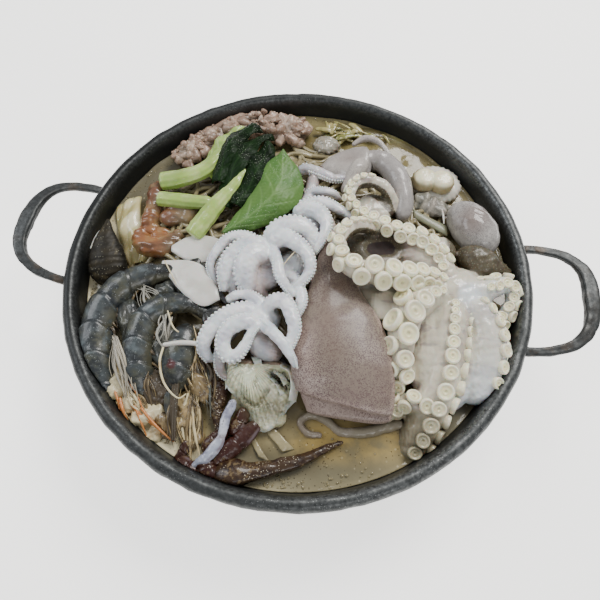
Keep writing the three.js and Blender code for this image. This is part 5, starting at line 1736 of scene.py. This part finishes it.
class SeafoodSettings(bpy.types.PropertyGroup):
    octopus: colour_setting("Octopus", "the octopus below and of its suckers", "#d6cfbb")
    octopus_back: colour_setting("Octopus back", "the octopus's upper skin", "#574f3b")
    sucker_size: bpy.props.FloatProperty(
        name="Sucker size", description="Size of the suckers against their usual size", default=1.0, min=0.5,
        max=1.2)
    baby: colour_setting("Small octopus", "the small octopuses", "#f0f2f3")
    baby_shade: colour_setting("Small octopus shade", "the low sides of the small octopuses", "#9a8680")
    squid: colour_setting("Squid", "the squid's sleeve", "#8a7d70")
    # This colour is partly pale skin and partly painted sheen.
    squid_edge: colour_setting("Squid edge", "the edges of the sleeve", "#bda89c")
    pale_squid: colour_setting("Pale squid", "the smaller pieces of squid", "#9f9a96")
    prawn: colour_setting("Prawn", "the raw prawns' shell", "#3d4344")
    prawn_sheen: colour_setting("Prawn sheen", "the lighter patches of the prawns", "#646e71")
    crab_flesh: colour_setting("Crab meat", "the crab's meat", "#e8e5c4")
    crab_shell: colour_setting("Crab shell", "the crab's legs and claw", "#40301f")
    mussel: colour_setting("Mussel", "the light bands of the mussel", "#352e1f")
    squirt: colour_setting("Sea squirt", "the orange-brown sacs", "#78503a")
    scallop: colour_setting("Scallop", "the scallop's meat", "#f7efca")
    meat: colour_setting("Minced meat", "the minced meat", "#a98d79")


class GreensSettings(bpy.types.PropertyGroup):
    pale_leaf: colour_setting("Pale leaf", "the pale bok choy leaf", "#587a3c")
    dark_leaf: colour_setting("Dark leaf", "the dark folded leaf", "#132710")
    stalk: colour_setting("Stalk", "the bok choy stalks", "#a3bf5f")
    radish: colour_setting("Radish", "the radish slices", "#dedbd3")
    cabbage: colour_setting("Cabbage", "the cabbage at the back", "#a99f66")


class StageSettings(bpy.types.PropertyGroup):
    # This colour is also the colour of the floor's glow.
    floor: colour_setting("Floor", "the floor", "#f4f3f0")
    light: bpy.props.FloatProperty(
        name="Light", description="Brightness of the studio lights against their usual one", default=1.0,
        min=0.1, max=4.0)
    distance: bpy.props.FloatProperty(
        name="Camera distance", description="Distance of the camera from the pot's rim",
        default=CAMERA_DISTANCE, min=0.2, max=2.0,
        subtype="DISTANCE", unit="LENGTH")


class HotPotSettings(bpy.types.PropertyGroup):
    pot: bpy.props.PointerProperty(type=PotSettings, name="Pot", description="Colours of the pot")
    broth: bpy.props.PointerProperty(type=BrothSettings, name="Broth",
                                     description="Colours of the broth and noodles")
    seafood: bpy.props.PointerProperty(type=SeafoodSettings, name="Seafood",
                                       description="Colours of the seafood")
    greens: bpy.props.PointerProperty(type=GreensSettings, name="Greens",
                                      description="Colours of the vegetables")
    stage: bpy.props.PointerProperty(type=StageSettings, name="Stage", description="Floor, light and camera")


# ---------- operators ----------


class HotPotOperator:
    """What the operators of the pot share."""

    bl_options = {"REGISTER", "UNDO"}

    def execute(self, context):
        self.build(context.scene.hot_pot)
        return {"FINISHED"}


class HOTPOT_OT_pot(HotPotOperator, bpy.types.Operator):
    """Builds the cast-iron pot and its two handles"""

    bl_idname = "hotpot.pot"
    bl_label = "Pot"

    def build(self, settings):
        iron = iron_finish("cast_iron", settings.pot.iron, settings.pot.worn)
        piece("pot", pot_shape(), iron, "iron", ["pot_body"])
        for name, side in (("handle_left", -1), ("handle_right", 1)):
            piece(f"{name}_strap", handle_shape(side), iron, "iron", [name])


class HOTPOT_OT_broth(HotPotOperator, bpy.types.Operator):
    """Fills the pot with broth and lays foam on it"""

    bl_idname = "hotpot.broth"
    bl_label = "Broth"

    def build(self, settings):
        piece("broth", broth_shape(), broth_finish(settings.broth.broth, settings.broth.cloud), "soup",
              ["soup"])
        piece("foam", foam_shape(), foam_finish(), "soup")


class HOTPOT_OT_noodles(HotPotOperator, bpy.types.Operator):
    """Heaps the noodles that carry the seafood, and floats two flat noodles in front"""

    bl_idname = "hotpot.noodles"
    bl_label = "Noodles"

    def build(self, settings):
        noodle = noodle_finish("wet_noodle", settings.broth.noodle, "#8a7e5c")
        heap = join([bed_core(), strands(settings.broth.strand_count, 3, 1.9, 110)])
        piece("noodle_heap", heap, noodle, "noodle", ["noodle_bed"])
        for name, edges in FLAT_NOODLES.items():
            flat = sheet(*edges, 24, 60, 2.2, lambda u, v: 0.7 * np.sin(9 * v + 2 * u))
            flat.pushed(0.15 * ripple(flat.points, 6, 3))
            piece(f"{name}_strip", flat, noodle, "noodle", [name])


class HOTPOT_OT_octopus(HotPotOperator, bpy.types.Operator):
    """Builds the large octopus: its arms and web, its suckers and its head"""

    bl_idname = "hotpot.octopus"
    bl_label = "Octopus"

    def build(self, settings):
        food = settings.seafood
        piece("octopus_body", octopus_body(), octopus_finish(food.octopus, food.octopus_back), "octopus",
              ["octopus"])
        piece("octopus_suckers", octopus_cups(food.sucker_size), cup_finish(food.octopus), "octopus",
              ["octopus"])
        head = ball((134, 53, 70), (26, 17, 16), 120, 80, -0.95)
        middle = nearness(head.points, [[128, 50, 86], [136, 60, 86]], 20)
        head.mark(edge=0.5 - 0.4 * middle, dent=middle)
        head.pushed(0.5 * ripple(head.points, 22, 3) + 0.15 * ripple(head.points, 6, 5))
        finish = squid_finish("octopus_head_skin", food.pale_squid, "#bcb8b0", "#5f5a5e", 0.6, 0.7)
        piece("octopus_sac", head, finish, "pale_squid", ["octopus_head"])


class HOTPOT_OT_small_octopuses(HotPotOperator, bpy.types.Operator):
    """Builds the two small octopuses, whose curled arms open like petals"""

    bl_idname = "hotpot.small_octopuses"
    bl_label = "Small octopuses"

    def build(self, settings):
        finish = baby_finish(settings.seafood.baby, settings.seafood.baby_shade)
        upper = baby_shape(UPPER_BABY_ARMS + arms_between(UPPER_BABY_ARMS[:3], (-20, -8), 0.32, 8),
                           UPPER_BABY_BODY, 4)
        piece("small_octopus_upper", upper, finish, "baby", ["baby_octopus_upper"])
        lower = baby_shape(LOWER_BABY_ARMS + arms_between(LOWER_BABY_ARMS[:2], (-16, -56), 0.4, 8),
                           LOWER_BABY_BODY, 5)
        piece("small_octopus_lower", lower, finish, "baby", ["baby_octopus_lower"])


class HOTPOT_OT_squids(HotPotOperator, bpy.types.Operator):
    """Builds the large squid, the small one behind it and the arm tip that floats in front"""

    bl_idname = "hotpot.squids"
    bl_label = "Squids"

    def build(self, settings):
        food = settings.seafood
        skin = squid_finish("squid_skin", food.squid, food.squid_edge, "#5b4348", 0.8)
        piece("squid_sleeve", mantle_shape(), skin, "squid", ["squid_mantle"])
        pale = squid_finish("pale_squid_skin", food.pale_squid, "#c4bdb2", "#6d6468", 0.45, 0.6)
        piece("squid_arch", small_squid_shape(), pale, "pale_squid", ["squid_small"])
        tip = tube(TENTACLE_ROUTE, [3.5, 4, 4, 3.5, 3, 3, 2.5, 2.5, 2], 28, 160)
        tip.moved([0, 0, -1.5]).mark(edge=0.2, dent=0).pushed(0.2 * ripple(tip.points, 5, 3))
        soaked = squid_finish("soaked_arm", "#8d8470", "#b5aa92", "#6d6458", 0.3, 0.5)
        piece("arm_tip", tip, soaked, "pale_squid", ["tentacle"])


class HOTPOT_OT_prawns(HotPotOperator, bpy.types.Operator):
    """Builds the raw prawns at the left, with their legs, feelers and tail fans"""

    bl_idname = "hotpot.prawns"
    bl_label = "Prawns"

    def build(self, settings):
        food = settings.seafood
        finish = prawn_finish(food.prawn, "#1d2226", food.prawn_sheen)
        for name, route, radii, plates, legs in (
            ("prawn_outer", OUTER_PRAWN, [4, 8, 11, 12, 12.5, 12.5, 11, 8, 3], 7, 24),
            ("prawn_inner", INNER_PRAWN, [5, 6, 9, 10.5, 11, 11, 10, 7, 3], 7, 22),
            ("prawn_short", SHORT_PRAWN, [6, 10.5, 12.5, 12.5, 10.5, 4], 3, 14),
        ):
            fan = tail_fan(*TAIL_FANS[name]) if name in TAIL_FANS else []
            shape = join([prawn_shell(route, radii, plates), *prawn_legs(route, radii, legs, 8, legs), *fan])
            piece(f"{name}_shell", shape, finish, "prawn", [name])
        piece("prawn_feelers", join([*prawn_whiskers(), *prawn_tangle()]), finish, "prawn")


class HOTPOT_OT_crab(HotPotOperator, bpy.types.Operator):
    """Builds the cut crab with its legs and claw"""

    bl_idname = "hotpot.crab"
    bl_label = "Crab"

    def build(self, settings):
        food = settings.seafood
        flesh = crab_flesh_finish(food.crab_flesh, "#cac79f")
        piece("crab_half", join([crab_body_shape(), *crab_flaps()]), flesh, "crab_flesh", ["crab_body"])
        shell = crab_shell_finish(food.crab_shell, "#3b1a15")
        for seed, (name, (route, radii, maroon)) in enumerate(CRAB_LEGS.items()):
            piece(f"{name}_limb", crab_limb(route, radii, maroon, seed), shell, "crab_shell", [name])
        piece("crab_claw_limb", crab_limb(*CLAW, 0.15, 9), shell, "crab_shell", ["crab_claw"])
        loose = [crab_limb(route, radii, maroon, 20 + seed)
                 for seed, (route, radii, maroon) in enumerate(CRAB_LOOSE)]
        piece("crab_loose_joints", join(loose), shell, "crab_shell")
        pearl = pearl_finish("#a5aaba")
        piece("crab_leg_pale_limb", crab_limb(*PALE_LEG, 0.0, 12), pearl, "pale_pearl", ["crab_leg_pale"])


class HOTPOT_OT_shellfish(HotPotOperator, bpy.types.Operator):
    """Builds the mussel, the oyster and the scallop with its shell and grey skirt"""

    bl_idname = "hotpot.shellfish"
    bl_label = "Shellfish"

    def build(self, settings):
        food = settings.seafood
        piece("mussel_closed", mussel_shape(), mussel_finish(food.mussel, "#1b1914"), "mussel", ["mussel"])
        oyster = smooth_finish("oyster_meat", "#a39c8c", "#3c3a34", "#837b68", 0.22)
        loose = frilled((5, 125, 64), (12, 10, 7), 90, 50, 0.45, 14, 0.7,
                        lambda points: 0.5 * ripple(points, 5, 8))
        piece("oyster_meat", loose, oyster, "pale_squid", ["oyster"])
        meat = smooth_finish("scallop_meat", food.scallop, "#96845a", "#cfc496", 0.28)
        piece("scallop_halves", scallop_meat_shape(), meat, "cream", ["scallop"])
        shell = smooth_finish("scallop_shell", "#e2decf", "#9d9787", "#bcb6a8", 0.34)
        dish = frilled((105, 101, 60), (22, 20, 6), 150, 40, 0.6, 26, 0.5,
                       lambda points: 0.2 * ripple(points, 6, 5))
        piece("scallop_dish", dish, shell, "white", ["scallop_shell"])
        skirt = squid_finish("scallop_skirt_skin", "#77776c", "#b3ad9c", "#4b4a45", 0.5)
        piece("scallop_mantle", skirt_shape(), skirt, "pale_squid", ["scallop_skirt"])


class HOTPOT_OT_sea_squirts(HotPotOperator, bpy.types.Operator):
    """Builds the three orange-brown sacs at the left"""

    bl_idname = "hotpot.sea_squirts"
    bl_label = "Sea squirts"

    def build(self, settings):
        finish = squirt_finish(settings.seafood.squirt, "#5e412b")
        for name, shape in squirt_shapes().items():
            piece(f"{name}_sac", shape, finish, "orange", [name])


class HOTPOT_OT_leaves(HotPotOperator, bpy.types.Operator):
    """Builds the bok choy: pale and dark leaves, the leaf behind them and the cut stalks"""

    bl_idname = "hotpot.leaves"
    bl_label = "Leaves"

    def build(self, settings):
        greens = settings.greens
        pale = leaf(
            [[-61, 8, 80], [-53, 26, 84], [-43, 52, 86], [-40, 79, 85], [-29, 91, 84]],
            [[-57, 6, 79], [-36, 17, 80], [-20, 29, 81], [-8, 44, 82], [-6, 62, 82], [-13, 78, 83],
             [-26, 91, 84]],
            5, 0.8, 7, 3)
        piece("pale_leaf", pale, leaf_finish("pale_leaf", greens.pale_leaf, "#4c7338", "#93b074"),
              "leaf_pale", ["leaf_pale"])
        folds = [leaf(a, b, bulge, 1.6, 9, seed) for a, b, bulge, seed in (
            ([[-70, 32, 77], [-74, 56, 80], [-70, 84, 82], [-58, 106, 82], [-44, 112, 80]],
             [[-60, 34, 78], [-57, 56, 84], [-52, 80, 87], [-46, 98, 86], [-38, 108, 82]], 3, 4),
            ([[-62, 36, 80], [-57, 58, 84], [-53, 80, 85], [-46, 100, 84]],
             [[-48, 32, 78], [-38, 50, 81], [-33, 74, 82], [-36, 98, 81]], 5, 14),
            ([[-81, 56, 78], [-83, 82, 80], [-76, 108, 81], [-64, 124, 79]],
             [[-68, 54, 80], [-66, 80, 85], [-62, 100, 85], [-50, 116, 81]], 4, 24),
        )]
        stem = stem_shape([[-86, 6, 74], [-79, 20, 78], [-70, 37, 82], [-61, 52, 85], [-55, 68, 88]],
                          [8, 8, 7, 4.5, 1.5], 0.6, 5)
        dark_finish = leaf_finish("dark_leaf", greens.dark_leaf, "#070f05", "#35552a", 0.45, 0.1)
        stalk_finish = stem_finish(greens.stalk, "#d0dd97")
        piece("dark_leaf", join(folds), dark_finish, "leaf_dark", ["leaf_dark"])
        piece("dark_leaf_stem", stem, stalk_finish, "stem")
        rear = leaf(
            [[-102, 70, 72], [-95, 84, 74], [-90, 105, 75], [-81, 122, 73]],
            [[-84, 65, 73], [-77, 86, 76], [-63, 105, 77], [-63, 123, 74]],
            3, 1.5, 6, 5)
        rear_stem = stem_shape([[-127, 54, 74], [-109, 60, 75], [-92, 70, 77], [-80, 92, 79], [-72, 108, 80]],
                               [8.5, 8, 7, 5, 3], 0.7, 6)
        piece("rear_leaf", join([rear, rear_stem]), stalk_finish, "stem", ["leaf_rear"])
        stalk = stem_shape([[-123, 36, 76], [-99, 37, 76], [-76, 38, 77]], [6.5, 6.5, 5.5], 0.75, 7)
        piece("cut_stalk", stalk, stalk_finish, "stem", ["stalk"])
        strip = sheet([[86, 67, 66], [101, 61, 65], [115, 56, 64]],
                      [[87, 59, 65], [102, 52, 65], [116, 46, 64]],
                      30, 60, 2, lambda u, v: 4 * u * (1 - u))
        pale_strip = smooth_finish("pale_green_strip", "#85876c", "#a5a88f", "#6b6e55", 0.45)
        piece("green_ribbon", strip.mark(rim=0), pale_strip, "stem", ["green_strip"])


class HOTPOT_OT_slices(HotPotOperator, bpy.types.Operator):
    """Builds the radish slices, the sprout and the piece of cabbage on the broth"""

    bl_idname = "hotpot.slices"
    bl_label = "Slices"

    def build(self, settings):
        greens = settings.greens
        white = smooth_finish("radish", greens.radish, "#eceae4", "#c3bfb2", 0.3)
        upper = slice_shape([[-101, -3, 70], [-89, 6, 72], [-72, 9, 73], [-62, 6, 73]],
                            [[-100, -8, 70], [-83, -15, 71], [-70, -13, 71], [-60, 1, 73]], 1, 3)
        piece("radish_upper", upper, white, "white", ["slice_upper"])
        lower = slice_shape([[-104, -18, 71], [-85, -16, 74], [-70, -20, 77], [-54, -37, 78]],
                            [[-102, -24, 71], [-77, -46, 77], [-60, -53, 78], [-50, -46, 78]], 1.5, 4)
        piece("radish_lower", lower, white, "white", ["slice_lower"])
        sprout = tube([[-81, -87, 79], [-67, -84, 82], [-54, -82, 80]], [1.6, 1.8, 1.6], 24, 60)
        piece("bean_sprout", sprout.mark(rim=0), white, "white", ["sprout"])
        cabbage = sheet([[-162, 34, 57], [-159, 19, 58], [-147, -3, 58], [-134, -20, 57]],
                        [[-145, 46, 60], [-136, 20, 62], [-122, -4, 60], [-121, -17, 58]], 60, 110, 4.6,
                        lambda u, v: (7 * u * (1 - u) + 0.9 * np.sin(17 * v + 5 * u)
                                      + 0.6 * np.sin(15 * u + 9 * v)))
        ridges = ripple(cabbage.points, 13, 3, 2)
        middle = nearness(cabbage.points, [[-146, 30, 62], [-136, 8, 64], [-128, -8, 62]], 16)
        # The raised ridges in the middle are marked for a painted highlight.
        cabbage.mark(rim=middle * step(ridges, -0.1, 0.6)).pushed(1.2 * ridges)
        # f4edcc is the painted highlight on the ridges.
        finish = smooth_finish("wet_cabbage", "#c6ba82", "#f4edcc", "#a3945b", 0.2, 0.2)
        piece("cabbage_leaf", cabbage, finish, "cream", ["cabbage_piece"])
        scraps = [
            tube([[-161, 12, 66], [-165, -2, 66], [-166, -14, 66]], [0.8, 1.5, 0.8], squash=0.6),
            tube([[107, 61, 79], [108, 54, 80], [109, 47, 79]], [0.5, 0.8, 0.4]),
            sheet([[64, 99, 79], [70, 100, 80], [77, 98, 80]], [[69, 88, 79], [70, 87, 80], [71, 88, 80]]),
        ]
        piece("pale_scraps", join(scraps).mark(rim=0), white, "white")


class HOTPOT_OT_heaps(HotPotOperator, bpy.types.Operator):
    """Heaps the minced meat and the greens along the back of the pot"""

    bl_idname = "hotpot.heaps"
    bl_label = "Meat and greens at the back"

    def build(self, settings):
        core = tube(MEAT_ROUTE, np.array(MEAT_RADII) * 0.9, 48, 90).mark(shade=0.4)
        core.pushed(1.2 * ripple(core.points, 8, 3))
        lumps = crumbs(MEAT_ROUTE, MEAT_RADII, 150, (3.6, 6.8), 6)
        bits = crumbs(MEAT_ROUTE, MEAT_RADII, 260, (1.2, 3.0), 9, 1.15)
        heap = join([core, *lumps, *bits])
        piece("minced_meat_heap", heap, meat_finish(settings.seafood.meat, "#cdb7a3", "#6b5443"), "meat",
              ["minced_meat"])
        piece("back_greens_heap", greens_shape(), greens_finish(settings.greens.cabbage, "#7c8040"), "cream",
              ["back_greens"])


class HOTPOT_OT_stage(HotPotOperator, bpy.types.Operator):
    """Sets the pale floor, which glows as painted light, the soft studio lights, the surroundings and the
    camera
    """

    bl_idname = "hotpot.stage"
    bl_label = "Stage"

    def build(self, settings):
        stage = settings.stage
        floor = bpy.data.objects.new("floor", mesh_of("floor", floor_shape()))
        bpy.context.scene.collection.objects.link(floor)
        floor.data.materials.append(glowing_floor_finish(stage.floor))
        for name, place, size, power, colour in LIGHTS:
            light = bpy.data.lights.new(name, "AREA")
            light.shape = "RECTANGLE"
            light.size, light.size_y = size
            light.energy = power * stage.light
            light.color = colour
            lamp = bpy.data.objects.new(name, light)
            lamp.location = place
            lamp.rotation_euler = (LIGHT_AIM - Vector(place)).to_track_quat("-Z", "Y").to_euler()
            bpy.context.scene.collection.objects.link(lamp)
        world = bpy.data.worlds.new("studio")
        world.use_nodes = True
        background = world.node_tree.nodes["Background"]
        background.inputs["Color"].default_value = SKY_COLOUR
        background.inputs["Strength"].default_value = SKY_STRENGTH * stage.light
        bpy.context.scene.world = world
        camera = bpy.data.objects.new("camera", bpy.data.cameras.new("camera"))
        camera.data.lens = LENS
        camera.data.sensor_width = SENSOR_WIDTH
        azimuth, elevation = math.radians(CAMERA_AZIMUTH), math.radians(CAMERA_ELEVATION)
        back = Vector((math.sin(azimuth) * math.cos(elevation), -math.cos(azimuth) * math.cos(elevation),
                       math.sin(elevation)))
        aim = CAMERA_PLACE - back * CAMERA_DISTANCE
        camera.location = aim + back * stage.distance
        camera.rotation_mode = "QUATERNION"
        camera.rotation_quaternion = (-back).to_track_quat("-Z", "Y")
        bpy.context.scene.collection.objects.link(camera)
        bpy.context.scene.camera = camera


PIECE_OPERATORS = [
    HOTPOT_OT_pot, HOTPOT_OT_broth, HOTPOT_OT_noodles, HOTPOT_OT_octopus, HOTPOT_OT_small_octopuses,
    HOTPOT_OT_squids, HOTPOT_OT_prawns, HOTPOT_OT_crab, HOTPOT_OT_shellfish, HOTPOT_OT_sea_squirts,
    HOTPOT_OT_leaves, HOTPOT_OT_slices, HOTPOT_OT_heaps, HOTPOT_OT_stage,
]


class HOTPOT_PT_sidebar(bpy.types.Panel):
    """Lists the pieces of the hot pot and their settings"""

    bl_idname = "HOTPOT_PT_sidebar"
    bl_label = "Seafood Hot Pot"
    bl_space_type = "VIEW_3D"
    bl_region_type = "UI"
    bl_category = "Hot Pot"

    def draw(self, context):
        settings = context.scene.hot_pot
        for operator in PIECE_OPERATORS:
            self.layout.operator(operator.bl_idname)
        for group in (settings.pot, settings.broth, settings.seafood, settings.greens, settings.stage):
            box = self.layout.box()
            for name in group.__annotations__:
                box.prop(group, name)


CLASSES = [
    PotSettings, BrothSettings, SeafoodSettings, GreensSettings, StageSettings, HotPotSettings,
    *PIECE_OPERATORS, HOTPOT_PT_sidebar,
]


def register():
    for each in CLASSES:
        bpy.utils.register_class(each)
    bpy.types.Scene.hot_pot = bpy.props.PointerProperty(type=HotPotSettings)


def unregister():
    del bpy.types.Scene.hot_pot
    for each in reversed(CLASSES):
        bpy.utils.unregister_class(each)


def main():
    register()
    for operator in PIECE_OPERATORS:
        family, name = operator.bl_idname.split(".")
        getattr(getattr(bpy.ops, family), name)()


if __name__ == "__main__":
    main()
